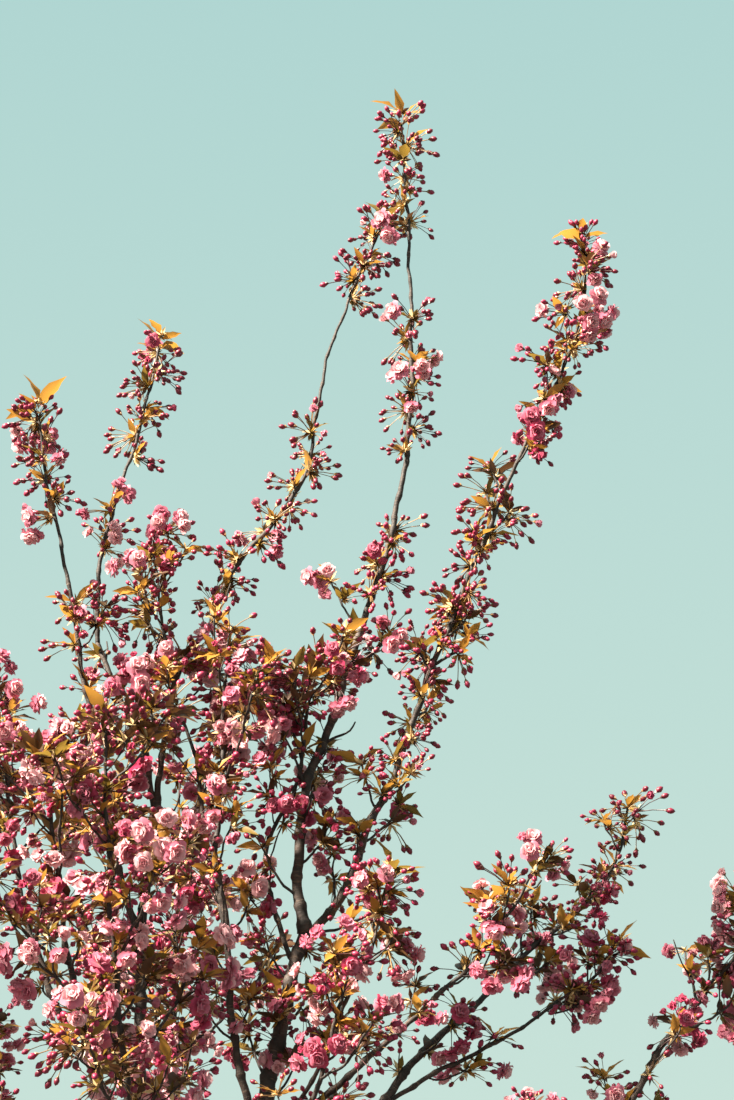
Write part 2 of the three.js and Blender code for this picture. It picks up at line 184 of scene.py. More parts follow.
@dataclass(frozen=True)
class LimbSpec:
    """A limb: where it leaves its parent, which way it goes and how it tapers.

    The dressing tells how thickly it is set with short flowering twigs beyond its bare share.
    """

    name: str
    parent: str
    at: float
    bearing: float
    lean: tuple[float, ...]
    length: float
    radii: Span
    dressing: float = 1.0
    bare: float = 0.26


@dataclass(frozen=True)
class MassSpec:
    """A mass of blossom that grows from the tip of one limb.

    The bloom is the share of its spurs whose blossoms are open, and open_at the places on its stem
    where they are open for certain.
    """

    name: str
    limb: str
    bearing: float
    lean: tuple[float, ...]
    length: float
    twigs: int
    reach: float
    bloom: float
    flowering: tuple[Span, ...] = ((0.28, 1.0),)
    open_at: tuple[float, ...] = ()


TRUNK = LimbSpec("trunk", "", 0, 0, (4, 0, -4), 1700, (97, 80))
LIMBS = (
    LimbSpec("leader_bough", "trunk", 0.985, 0, (29, 0, 18), 1300, (28, 13.5), 1.6),
    LimbSpec("leader_limb", "leader_bough", 0.99, 20, (-14, 20, 16), 820, (12.5, 8), 1.4, 0.04),
    LimbSpec("right_limb", "leader_bough", 0.96, -12, (47, 21, 29), 450, (11, 7.5), 1.6, 0.1),
    LimbSpec("centre_bough", "leader_bough", 0.62, 215, (29, 3, 15), 660, (9, 7), 1.7),
    LimbSpec("inner_limb", "leader_bough", 0.93, -20, (-31, -8, 44), 430, (6, 4.5), 1.5),
    LimbSpec("small_limb", "centre_bough", 0.72, 160, (16, 11, 7), 420, (6, 4.5), 1.4),
    LimbSpec("left_centre_bough", "trunk", 0.96, 170, (7, 7, -8), 1610, (22, 8.5), 1.3),
    LimbSpec("curved_limb", "left_centre_bough", 0.99, 15, (3, 7, 40), 480, (7.5, 6)),
    LimbSpec("left_inner_limb", "left_centre_bough", 0.97, 160, (2, 27, 23), 490, (8, 6)),
    LimbSpec("left_front_limb", "left_centre_bough", 0.8, 212, (28, 11, 12), 740, (8.5, 5.5)),
    LimbSpec("left_mid_limb", "left_centre_bough", 0.5, 190, (38, 30, 18), 600, (10, 6.5)),
    LimbSpec("lower_left_limb", "left_centre_bough", 0.3, 235, (30, 28, 20), 700, (12, 7.5)),
    LimbSpec("upper_right_bough", "leader_bough", 0.42, -22, (-14, 57, 49), 760, (10, 5), 0.5),
    LimbSpec("thin_limb", "leader_bough", 0.5, -35, (18, 34, 27), 550, (6, 3.8)),
    LimbSpec("lower_front_limb", "leader_bough", 0.3, 305, (30, 30, 24), 520, (9, 6)),
    LimbSpec("right_bough", "trunk", 0.98, 26, (22, 28, 52), 1400, (17, 7), 0.4),
    LimbSpec("right_side_limb", "right_bough", 0.72, 5, (59, 60, 64), 390, (6, 4.2), 0.4),
    LimbSpec("far_right_bough", "trunk", 0.9, 12, (33, 56, 27), 1620, (17, 7)),
    LimbSpec("left_bough", "trunk", 0.98, 182, (38, 30, 22), 1100, (24, 12)),
    LimbSpec("left_upper_limb", "left_bough", 0.99, 165, (15, 8, 12), 650, (11, 7.5)),
    LimbSpec("left_outer_limb", "left_bough", 0.9, 198, (60, 48, 32), 450, (10, 6.5)),
    LimbSpec("left_low_bough", "trunk", 0.84, 207, (62, 68, 60), 850, (18, 7.5)),
    LimbSpec("front_left_bough", "trunk", 0.9, 230, (48, 46, 34), 900, (20, 8)),
    LimbSpec("front_bough", "trunk", 0.94, 262, (36, 36, 30), 850, (20, 8)),
    LimbSpec("front_low_bough", "trunk", 0.8, 286, (65, 68, 58), 750, (17, 7.5)),
    LimbSpec("front_right_bough", "trunk", 0.86, 322, (58, 62, 60), 750, (17, 7.5)),
    LimbSpec("right_low_bough", "trunk", 0.82, 350, (62, 66, 62), 850, (17, 7.5)),
    LimbSpec("back_right_bough", "trunk", 0.9, 48, (52, 56, 54), 900, (18, 7.5)),
    LimbSpec("back_bough", "trunk", 0.96, 98, (34, 34, 28), 950, (21, 8.5)),
    LimbSpec("back_left_bough", "trunk", 0.92, 138, (44, 44, 36), 950, (20, 8.5)),
    LimbSpec("back_low_bough", "trunk", 0.78, 78, (64, 68, 60), 800, (17, 7.5)),
)
MASSES = (
    MassSpec("leader_shoot", "leader_limb", 15, (20, 0, -4), 1360, 0, 0, 0.1,
             ((0.01, 0.18), (0.31, 0.6), (0.77, 1)), (0.785, 0.5)),
    MassSpec("right_shoot", "right_limb", -12, (17, 23, 22, 29, -7), 1420, 3, 110, 0.05,
             ((0.01, 0.5), (0.62, 0.84), (0.9, 1)), (0.85, 0.87, 0.95)),
    MassSpec("centre_shoot", "centre_bough", 200, (-7, 0, -4), 480, 9, 320, 0.27),
    MassSpec("inner_shoot", "inner_limb", -20, (15, 6, 15), 330, 7, 260, 0.3),
    MassSpec("small_shoot", "small_limb", 190, (23, 10, 9), 520, 5, 200, 0.22, ((0.2, 1),)),
    MassSpec("curved_shoot", "curved_limb", 15, (13, 42, 4, 19, 23), 1220, 0, 0, 0.1,
             ((0.02, 0.5), (0.8, 1))),
    MassSpec("left_inner_shoot", "left_inner_limb", 20, (-6, 17, 8), 820, 0, 0, 0.2,
             ((0.02, 0.1), (0.27, 0.45), (0.6, 1))),
    MassSpec("left_front_shoot", "left_front_limb", 190, (10, 15, 7), 550, 0, 0, 0.2,
             ((0.02, 0.16), (0.48, 1)), (0.95,)),
    MassSpec("left_mid_shoot", "left_mid_limb", 190, (12, 8, 10), 560, 7, 380, 0.27),
    MassSpec("lower_left_shoot", "lower_left_limb", 230, (18, 12, 8), 520, 7, 340, 0.3),
    MassSpec("upper_right_shoot", "upper_right_bough", -15, (55, 37, 26), 360, 4, 120, 0.16),
    MassSpec("thin_shoot", "thin_limb", -35, (44, 13, 20), 230, 3, 110, 0.3),
    MassSpec("lower_front_shoot", "lower_front_limb", 320, (25, 20, 15), 330, 3, 200, 0.36),
    MassSpec("right_outer_shoot", "right_bough", 16, (42, 52, 5), 660, 5, 130, 0.24),
    MassSpec("right_side_shoot", "right_side_limb", -5, (53, 60, 34), 280, 2, 110, 0.24),
    MassSpec("far_right_shoot", "far_right_bough", 12, (41, 42, 14), 540, 6, 160, 0.24),
    MassSpec("left_upper_shoot", "left_upper_limb", 180, (10, 2, 6), 1050, 7, 320, 0.24,
             ((0.04, 0.5), (0.62, 1))),
    MassSpec("left_outer_shoot", "left_outer_limb", 190, (32, 22, 8), 820, 7, 400, 0.3),
    MassSpec("left_low_shoot", "left_low_bough", 200, (58, 44, 18), 850, 7, 420, 0.27),
    MassSpec("front_left_shoot", "front_left_bough", 225, (34, 24, 8), 950, 7, 420, 0.27),
    MassSpec("front_shoot", "front_bough", 255, (30, 18, 6), 960, 7, 380, 0.27),
    MassSpec("front_low_shoot", "front_low_bough", 290, (56, 42, 18), 760, 6, 420, 0.27),
    MassSpec("front_right_shoot", "front_right_bough", 325, (62, 60, 46), 760, 6, 340, 0.27),
    MassSpec("right_low_shoot", "right_low_bough", 355, (62, 54, 34), 840, 6, 380, 0.27),
    MassSpec("back_right_shoot", "back_right_bough", 45, (54, 46, 34), 850, 6, 340, 0.27),
    MassSpec("back_shoot", "back_bough", 95, (28, 16, 4), 1160, 8, 440, 0.3),
    MassSpec("back_left_shoot", "back_left_bough", 140, (36, 24, 6), 1120, 8, 440, 0.3),
    MassSpec("back_low_shoot", "back_low_bough", 75, (58, 42, 20), 780, 6, 420, 0.27),
)


@dataclass
class Wood:
    """One piece of wood: its line, its radii, and the waver that keeps it from running true.

    The waver is a sum of waves, each so many times shorter and lower than the first. It fades out
    towards both ends, and is whole only past one part in steadiness of the length.
    """

    axis: Axis
    radii: Span
    seed: int
    waver: float = 2.5
    wave: float = 130.0
    octaves: tuple[float, ...] = (1.0, 2.3, 5.1)
    steadiness: float = 8.0
    knots: list[float] = field(default_factory=list)

    def line(self, fractions: Vectors) -> Vectors:
        """The points of the wavering line at some fractions of the length.

        Args:
            fractions: Where on the wood, from 0 at its foot to 1 at its tip.

        Returns:
            One point for each fraction.
        """
        dice = Dice(self.seed)
        along = np.asarray(fractions, float)
        points = self.axis.at(along)
        ease = np.clip(np.minimum(along, 1 - along) * self.steadiness, 0, 1)
        bearing = self.axis.bearing * DEGREE
        sideways = np.array([-math.sin(bearing), math.cos(bearing), 0.0])
        over = np.cross(sideways, self.axis.direction(0.5))
        for across in (sideways, over):
            swing = np.zeros_like(along)
            for octave in self.octaves:
                turns = self.axis.length / self.wave * octave
                swing += np.sin(along * turns * math.tau + dice.span(0, math.tau)) / octave
            points = points + (swing * ease * self.waver)[..., None] * across
        return points

    def point(self, fraction: float) -> Vectors:
        """The point of the wavering line at one fraction of the length."""
        return self.line(np.array([fraction]))[0]

    def radius(self, fraction: float) -> float:
        """The radius at a fraction of the length."""
        return between(*self.radii, fraction)

    def radii_at(self, fractions: Vectors) -> Vectors:
        """The radii at several fractions of the length."""
        return np.array([self.radius(fraction) for fraction in fractions])


class Neighbours:
    """Every limb and stem as straight segments, to test how near a point is to each."""

    def __init__(self, limbs: Iterable[Wood], stems: Iterable[Wood]) -> None:
        """Gathers the segments of the limbs and the stems.

        Args:
            limbs: The limbs.
            stems: The stems, in the order of the masses.
        """
        rows = []
        for owner, wood in enumerate(stems):
            rows += self.segments(wood, owner)
        for wood in limbs:
            rows += self.segments(wood, -1)
        start, step, owner, radius = zip(*rows)
        self.start = np.array(start)
        self.step = np.array(step)
        self.owner = np.array(owner)
        self.radius = np.array(radius)
        self.square = (self.step ** 2).sum(axis=1)

    @staticmethod
    def segments(wood: Wood, owner: int) -> list[tuple[Vectors, Vectors, int, float]]:
        """The segments of one piece of wood, each with its owner and radius.

        Args:
            wood: The wood.
            owner: The number of its mass, or -1 for a limb.

        Returns:
            The start, step, owner and middle radius of each segment.
        """
        points = wood.axis.points
        count = len(points) - 1
        return [
            (points[k], points[k + 1] - points[k], owner, wood.radius((k + 0.5) / count))
            for k in range(count)
        ]

    def clear(self, owner: int, points: Vectors, room: float, margin: float, bark: float) -> bool:
        """Whether points keep to their own stem's space and clear of the limbs.

        Args:
            owner: The number of the stem that the points belong to.
            points: The points.
            room: The room that each point needs round it.
            margin: The room kept to the space of other stems.
            bark: The room kept to the limbs.

        Returns:
            True where every point is clear.
        """
        offset = points[:, None, :] - self.start
        share = np.clip((offset * self.step).sum(axis=2) / self.square, 0, 1)
        distance = np.linalg.norm(offset - share[..., None] * self.step, axis=2)
        own = distance[:, self.owner == owner].min(axis=1)
        others = (self.owner >= 0) & (self.owner != owner)
        limbs = self.owner < 0
        in_space = (distance[:, others].min(axis=1) >= own + margin + room).all()
        off_bark = ((distance[:, limbs] - self.radius[limbs]).min(axis=1) >= bark + room).all()
        return bool(in_space and off_bark)


@dataclass
class Spur:
    """A short side shoot that carries one cluster: its place, its outward direction and its bloom."""

    place: Vector
    outward: Vector
    along: Vector
    bloom: float
    fullness: float
    is_tip: bool = False


@dataclass(frozen=True)
class TwigHabit:
    """How one kind of twig grows on its parent.

    It stands on a stretch of its parent, at an angle in degrees. Its length is drawn from a span,
    and changes from the parent's foot to its tip by two shares. Its foot is never thicker than a
    share of its parent, and it needs some room round it.
    """

    stretch: Span
    split: Span
    length: Span
    shrink: Span
    foot: float
    foot_share: float
    tip: float
    room: float
    first_seed: int
    seed_step: int
    shortest: float = 0.0
    waver: float = 2.5
    wave: float = 130.0

    def length_at(self, fraction: float, reach: float, dice: Dice) -> float:
        """The length of a twig at a fraction of its parent, in a mass of some reach."""
        return max(self.shortest, reach * between(*self.shrink, fraction) * dice.span(*self.length))

    def twig(self, parent: Wood, fraction: float, axis: Axis, group: int, index: int = 0) -> Wood:
        """A twig that starts on the wavering line of its parent.

        Args:
            parent: The wood that it grows from.
            fraction: Where on that wood it starts.
            axis: Its own line, which starts on the parent's true line.
            group: The number of its group, such as its mass.
            index: Its number in the group.

        Returns:
            The twig.
        """
        axis.points = axis.points + (parent.point(fraction) - parent.axis.at(fraction))
        radii = (min(self.foot, self.foot_share * parent.radius(fraction)), self.tip)
        return Wood(axis, radii, self.first_seed + group * self.seed_step + index, self.waver, self.wave)


SIDE_TWIG = TwigHabit(
    stretch=(0.06, 0.9), split=(44.8, 67.2), length=(0.85, 1.15), shrink=(1.0, 0.5),
    foot=5.0, foot_share=0.7, tip=2.3, room=5.0, first_seed=7000, seed_step=40,
)
FILLING_TWIG = TwigHabit(
    stretch=(0.05, 0.96), split=(42.0, 66.0), length=(0.35, 0.85), shrink=(0.8, 0.3),
    foot=4.0, foot_share=0.6, tip=1.9, room=2.0, first_seed=9000, seed_step=60, shortest=70.0,
)
FINE_TWIG = TwigHabit(
    stretch=(0.25, 0.9), split=(38.0, 60.0), length=(60.0, 150.0), shrink=(1.0, 0.6),
    foot=3.0, foot_share=0.75, tip=1.7, room=1.0, first_seed=20000, seed_step=9, waver=2.0, wave=70.0,
)
LIMB_TWIG = TwigHabit(
    stretch=(0.0, 0.99), split=(40.0, 64.0), length=(60.0, 170.0), shrink=(1.0, 1.0),
    foot=4.0, foot_share=0.4, tip=1.9, room=0.0, first_seed=30000, seed_step=1,
)


@dataclass(frozen=True)
class SpurHabit:
    """How spurs stand on one kind of wood: their step, how full they are, and if one ends it."""

    step: float
    fullness: float
    has_tip: bool = True


SLIM_STEM_SPURS = SpurHabit(48.0, 2.0)
STEM_SPURS = SpurHabit(62.0, 0.95)
TWIG_SPURS = SpurHabit(62.0, 0.85)
LIMB_TWIG_SPURS = SpurHabit(62.0, 1.0)
LIMB_SPURS = SpurHabit(95.0, 0.9, has_tip=False)


@dataclass
class Skeleton:
    """All the wood of the tree and the spurs on it.

    The limbs, stems and side twigs follow the rule of the solids. Finer twigs, and more of them,
    follow the same rule with smaller numbers, inside the same space.
    """

    mass_margin: float = 10.0
    limb_margin: float = 5.0
    tested_at: tuple[float, ...] = (0.35, 0.55, 0.75, 1.0)
    limb_seeds: int = 40
    stem_seeds: int = 90
    fine_seeds: int = 500
    knot_seeds: int = 600
    dressing_seed: int = 77
    limb_waver: Span = (3.2, 300.0)
    stem_waver: Span = (2.3, 220.0)
    stem_foot_share: float = 0.98
    stem_tip: float = 2.8
    first_knot: Span = (0.02, 0.06)
    knot_step: Span = (38.0, 105.0)
    twig_rise: Span = (0.72, 0.4)
    twig_step: float = 105.0
    filling_turn: float = 70.0
    fine_turn: float = 200.0
    slim_reach: float = 115.0
    sure_fullness: float = 1.2
    bare_share: float = 0.14
    twig_flowering: Span = (0.42, 1.0)
    dressed_radius: float = 18.5
    limb_twig_flowering: Span = (0.4, 1.0)
    limb_twig_bloom: float = 0.3
    limb_flowering: Span = (0.75, 0.98)
    limb_bloom: float = 0.2
    tip_bloom_share: float = 0.6
    spur_blooms: Span = (0.4, 1.6)
    spur_tilt: Span = (62.0, 88.0)
    spur_seat: float = 0.9
    limbs: dict[str, Wood] = field(default_factory=dict)
    stems: dict[str, Wood] = field(default_factory=dict)
    twigs: list[Wood] = field(default_factory=list)
    spurs: list[Spur] = field(default_factory=list)
    neighbours: Neighbours = field(init=False)

    def grow(self) -> None:
        """Works out the wood, from the trunk to the finest twigs, and then the spurs."""
        self.limbs[TRUNK.name] = Wood(Axis(np.zeros(3), 0, TRUNK.lean, TRUNK.length), TRUNK.radii, 1, 0)
        for seed, spec in enumerate(LIMBS, self.limb_seeds):
            start = self.limbs[spec.parent].axis.at(spec.at)
            axis = Axis(start, spec.bearing, spec.lean, spec.length)
            self.limbs[spec.name] = self.knotted(Wood(axis, spec.radii, seed, *self.limb_waver))
        for seed, spec in enumerate(MASSES, self.stem_seeds):
            limb = self.limbs[spec.limb]
            start = limb.axis.at(1.0) - limb.axis.direction(1.0) * STEM_SEAT
            axis = Axis(start, spec.bearing, spec.lean, spec.length)
            radii = (limb.radii[1] * self.stem_foot_share, self.stem_tip)
            self.stems[spec.name] = self.knotted(Wood(axis, radii, seed, *self.stem_waver))
        self.neighbours = Neighbours(self.limbs.values(), self.stems.values())
        for owner, spec in enumerate(MASSES):
            self.grow_mass(owner, spec)
        self.dress_limbs()
        log.info("skeleton: %d twigs, %d spurs", len(self.twigs), len(self.spurs))

    def knotted(self, wood: Wood) -> Wood:
        """Sets old knots at uneven steps along some wood.

        Args:
            wood: The wood.

        Returns:
            The same wood.
        """
        dice = Dice(wood.seed + self.knot_seeds)
        place = dice.span(*self.first_knot)
        while place < 1:
            wood.knots.append(place)
            place += dice.span(*self.knot_step) / wood.axis.length
        return wood

    def side_twig(self, wood: Wood, fraction: float, turn: float, split: float, length: float) -> Axis:
        """The line of a side twig, which leaves at a wide angle and rises towards its tip.

        Args:
            wood: The parent.
            fraction: Where on the parent it leaves.
            turn: Its turn about the parent, in degrees.
            split: The angle that it leaves at, in degrees.
            length: Its length.

        Returns:
            The line.
        """
        along = Vector(wood.axis.direction(fraction))
        direction = tilted_from(along, turn, split)
        bearing = math.atan2(direction.y, direction.x) / DEGREE
        lean = math.acos(max(-1.0, min(1.0, direction.z))) / DEGREE
        leans = (lean, lean * self.twig_rise[0], lean * self.twig_rise[1])
        return Axis(wood.axis.at(fraction), bearing, leans, length)

    def keeps_clear(self, owner: int, axis: Axis, room: float) -> bool:
        """Whether the outer part of a twig keeps to its mass's space and off the limbs."""
        outer = axis.at(np.array(self.tested_at))
        return self.neighbours.clear(owner, outer, room, self.mass_margin, self.limb_margin)

    def grow_mass(self, owner: int, spec: MassSpec) -> None:
        """Grows one mass: the side twigs of the solids, and finer twigs on them and between them.

        Args:
            owner: The number of the mass.
            spec: The mass.
        """
        stem = self.stems[spec.name]
        dice = Dice(owner + 1)
        fine = Dice(owner + self.fine_seeds)
        sides = []
        for index in range(spec.twigs):
            fraction = between(*SIDE_TWIG.stretch, (index + 0.5) / spec.twigs)
            length = SIDE_TWIG.length_at(fraction, spec.reach, dice)
            split = dice.span(*SIDE_TWIG.split)
            axis = self.side_twig(stem, fraction, index * GOLDEN_TURN, split, length)
            if self.keeps_clear(owner, axis, SIDE_TWIG.room):
                sides.append(SIDE_TWIG.twig(stem, fraction, axis, owner, index))
        if spec.twigs > 0:
            sides += self.filling_twigs(owner, spec, stem, fine)
        self.twigs += sides
        habit = SLIM_STEM_SPURS if spec.reach < self.slim_reach else STEM_SPURS
        self.add_spurs(stem, spec.flowering, spec.bloom, habit, fine)
        for fraction in spec.open_at:
            self.add_spur(stem, fraction, fine.span(0, 360), SURE_BLOOM, self.sure_fullness, fine)
        for wood in sides:
            finer = self.finer_twigs(owner, wood, fine)
            self.twigs += finer
            for twig in (wood, *finer):
                if fine() > self.bare_share:
                    self.add_spurs(twig, (self.twig_flowering,), spec.bloom, TWIG_SPURS, fine)

    def filling_twigs(self, owner: int, spec: MassSpec, stem: Wood, dice: Dice) -> list[Wood]:
        """More side twigs between those of the solids, shorter than them.

        Args:
            owner: The number of the mass.
            spec: The mass.
            stem: Its stem.
            dice: The source of the unevenness.

        Returns:
            The twigs that keep clear.
        """
        found = []
        count = int(spec.length / self.twig_step)
        for index in range(count):
            fraction = between(*FILLING_TWIG.stretch, (index + dice()) / count)
            length = FILLING_TWIG.length_at(fraction, spec.reach, dice)
            turn = index * GOLDEN_TURN + self.filling_turn
            axis = self.side_twig(stem, fraction, turn, dice.span(*FILLING_TWIG.split), length)
            if self.keeps_clear(owner, axis, FILLING_TWIG.room):
                found.append(FILLING_TWIG.twig(stem, fraction, axis, owner, index))
        return found

    def finer_twigs(self, owner: int, wood: Wood, dice: Dice) -> list[Wood]:
        """The twigs that branch from a side twig.

        Args:
            owner: The number of the mass.
            wood: The side twig.
            dice: The source of the unevenness.

        Returns:
            The twigs that keep clear.
        """
        found = []
        count = int(wood.axis.length / self.twig_step)
        for index in range(count):
            fraction = between(*FINE_TWIG.stretch, (index + dice()) / count)
            length = FINE_TWIG.length_at(fraction, 1.0, dice)
            turn = index * GOLDEN_TURN + self.fine_turn * dice()
            axis = self.side_twig(wood, fraction, turn, dice.span(*FINE_TWIG.split), length)
            if self.keeps_clear(owner, axis, FINE_TWIG.room):
                found.append(FINE_TWIG.twig(wood, fraction, axis, len(self.twigs), index))
        return found

    def dress_limbs(self) -> None:
        """Grows short twigs and spurs straight from the slimmer, outer parts of the limbs."""
        dice = Dice(self.dressing_seed)
        for spec in LIMBS:
            wood = self.limbs[spec.name]
            stretch = np.arange(spec.bare, 1.0, 0.02)
            first = next(place for place in stretch if wood.radius(place) < self.dressed_radius)
            count = int(spec.length * (1.0 - first) * spec.dressing / self.twig_step)
            for index in range(count):
                fraction = between(first, LIMB_TWIG.stretch[1], (index + dice()) / count)
                split = dice.span(*LIMB_TWIG.split)
                length = LIMB_TWIG.length_at(fraction, 1.0, dice)
                axis = self.side_twig(wood, fraction, index * GOLDEN_TURN, split, length)
                twig = LIMB_TWIG.twig(wood, fraction, axis, len(self.twigs))
                self.twigs.append(twig)
                if dice() > self.bare_share:
                    stretches = (self.limb_twig_flowering,)
                    self.add_spurs(twig, stretches, self.limb_twig_bloom, LIMB_TWIG_SPURS, dice)
            low, high = self.limb_flowering
            self.add_spurs(wood, ((max(first, low), high),), self.limb_bloom, LIMB_SPURS, dice)

    def add_spur(
        self, wood: Wood, fraction: float, turn: float, bloom: float, fullness: float, dice: Dice
    ) -> None:
        """Sets one spur on the side of some wood, which swells to a knot there.

        Args:
            wood: The wood.
            fraction: Where on the wood it stands.
            turn: Its turn about the wood, in degrees.
            bloom: The chance that its blossoms are open.
            fullness: How full its cluster is, where 1 is usual.
            dice: The source of the unevenness.
        """
        along = Vector(wood.axis.direction(fraction))
        outward = tilted_from(along, turn, dice.span(*self.spur_tilt))
        place = Vector(wood.point(fraction)) + outward * (wood.radius(fraction) * self.spur_seat)
        self.spurs.append(Spur(place, outward, along, bloom, fullness))
        wood.knots.append(fraction)

    def add_spurs(
        self, wood: Wood, stretches: Iterable[Span], bloom: float, habit: SpurHabit, dice: Dice
    ) -> None:
        """Sets spurs at even steps over the flowering stretches of some wood, and one at its tip.

        Args:
            wood: The wood.
            stretches: The flowering stretches, as fractions of its length.
            bloom: The share of the spurs whose blossoms are open.
            habit: How the spurs stand.
            dice: The source of their unevenness.
        """
        turn = dice.span(0, 360)
        for low, high in stretches:
            count = max(1, round(wood.axis.length * (high - low) / habit.step))
            for index in range(count):
                fraction = between(low, high, (index + dice.span(0.25, 0.75)) / count)
                turn += GOLDEN_TURN
                share = dice.span(*self.spur_blooms)
                self.add_spur(wood, fraction, turn, bloom * share, habit.fullness, dice)
        if habit.has_tip:
            along = Vector(wood.axis.direction(1.0))
            tip = Vector(wood.point(1.0))
            self.spurs.append(Spur(tip, along, along, bloom * self.tip_bloom_share, habit.fullness, True))


def add_object(name: str, data: bpy.types.ID) -> bpy.types.Object:
    """A new object in the scene that holds a mesh, a light or a camera.

    Args:
        name: Its name.
        data: The mesh, light or camera.

    Returns:
        The object.
    """
    thing = bpy.data.objects.new(name, data)
    bpy.context.scene.collection.objects.link(thing)
    return thing


def settle(thing: bpy.types.Object) -> None:
    """Turns what an object's modifiers make into its own plain, smooth mesh.

    Args:
        thing: The object.
    """
    evaluated = thing.evaluated_get(bpy.context.evaluated_depsgraph_get())
    mesh = bpy.data.meshes.new_from_object(evaluated)
    thing.modifiers.clear()
    thing.data = mesh
    mesh.shade_smooth()


def note_places(mesh: bpy.types.Mesh, places: Vectors) -> None:
    """Notes each point's place along its limb, in metres, for the pattern of the bark.

    Args:
        mesh: The mesh.
        places: One place for each of its points.
    """
    found = mesh.attributes.get("limb_place")
    attribute = found or mesh.attributes.new("limb_place", "FLOAT_VECTOR", "POINT")
    attribute.data.foreach_set("vector", places.astype(np.float32).ravel())


def around(share: float) -> Vector:
    """The level direction a share of a full turn from +X towards +Y."""
    return Vector((math.cos(share * math.tau), math.sin(share * math.tau), 0.0))


def new_material(name: str) -> tuple[bpy.types.Material, bpy.types.Node]:
    """A new material and its surface shader.

    Args:
        name: Its name.

    Returns:
        The material and the shader.
    """
    material = bpy.data.materials.new(name)
    material.use_nodes = True
    return material, material.node_tree.nodes["Principled BSDF"]


def feed(tree: bpy.types.NodeTree, node: bpy.types.Node, inputs: dict[str | int, Any]) -> None:
    """Fills a node's inputs, each by a link from a socket or with a constant.

    Args:
        tree: The tree that the node is in.
        node: The node.
        inputs: What goes into each input, by the input's name or number.
    """
    for key, value in inputs.items():
        if isinstance(value, bpy.types.NodeSocket):
            tree.links.new(value, node.inputs[key])
        else:
            node.inputs[key].default_value = value


def add_node(
    tree: bpy.types.NodeTree, kind: str, inputs: dict[str | int, Any] | None = None, **settings: Any
) -> bpy.types.Node:
    """A new node, whose settings are made before its inputs are filled.

    Args:
        tree: The tree that it goes into.
        kind: The type of node.
        inputs: What goes into its inputs, by name or number.
        settings: The node's own settings.

    Returns:
        The node.
    """
    node = tree.nodes.new(kind)
    for name, value in settings.items():
        setattr(node, name, value)
    feed(tree, node, inputs or {})
    return node


def add_sockets(tree: bpy.types.NodeTree, direction: str, kinds: dict[str, str]) -> list[str]:
    """Declares inputs or outputs of a node group.

    Args:
        tree: The node group.
        direction: INPUT or OUTPUT.
        kinds: The kind of value of each socket, by its name.

    Returns:
        The identifier of each socket.
    """
    face = tree.interface
    return [
        face.new_socket(name, in_out=direction, socket_type=f"NodeSocket{kind}").identifier
        for name, kind in kinds.items()
    ]


def blended(
    tree: bpy.types.NodeTree, share: bpy.types.NodeSocket, first: Any, second: Any
) -> bpy.types.NodeSocket:
    """Two colours, mixed by a share of the second."""
    inputs = {"Factor": share, "A": first, "B": second}
    return add_node(tree, "ShaderNodeMix", inputs, data_type="RGBA").outputs["Result"]


def dress(thing: bpy.types.Object, material: bpy.types.Material) -> bpy.types.Object:
    """Gives an object its material and its body, and logs it.

    Args:
        thing: The object.
        material: Its material.

    Returns:
        The same object.
    """
    thing.data.materials.clear()
    thing.data.materials.append(material)
    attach(thing, "root")
    triangles = sum(len(face.vertices) - 2 for face in thing.data.polygons)
    log.info("%s: %d triangles", thing.name, triangles)
    return thing


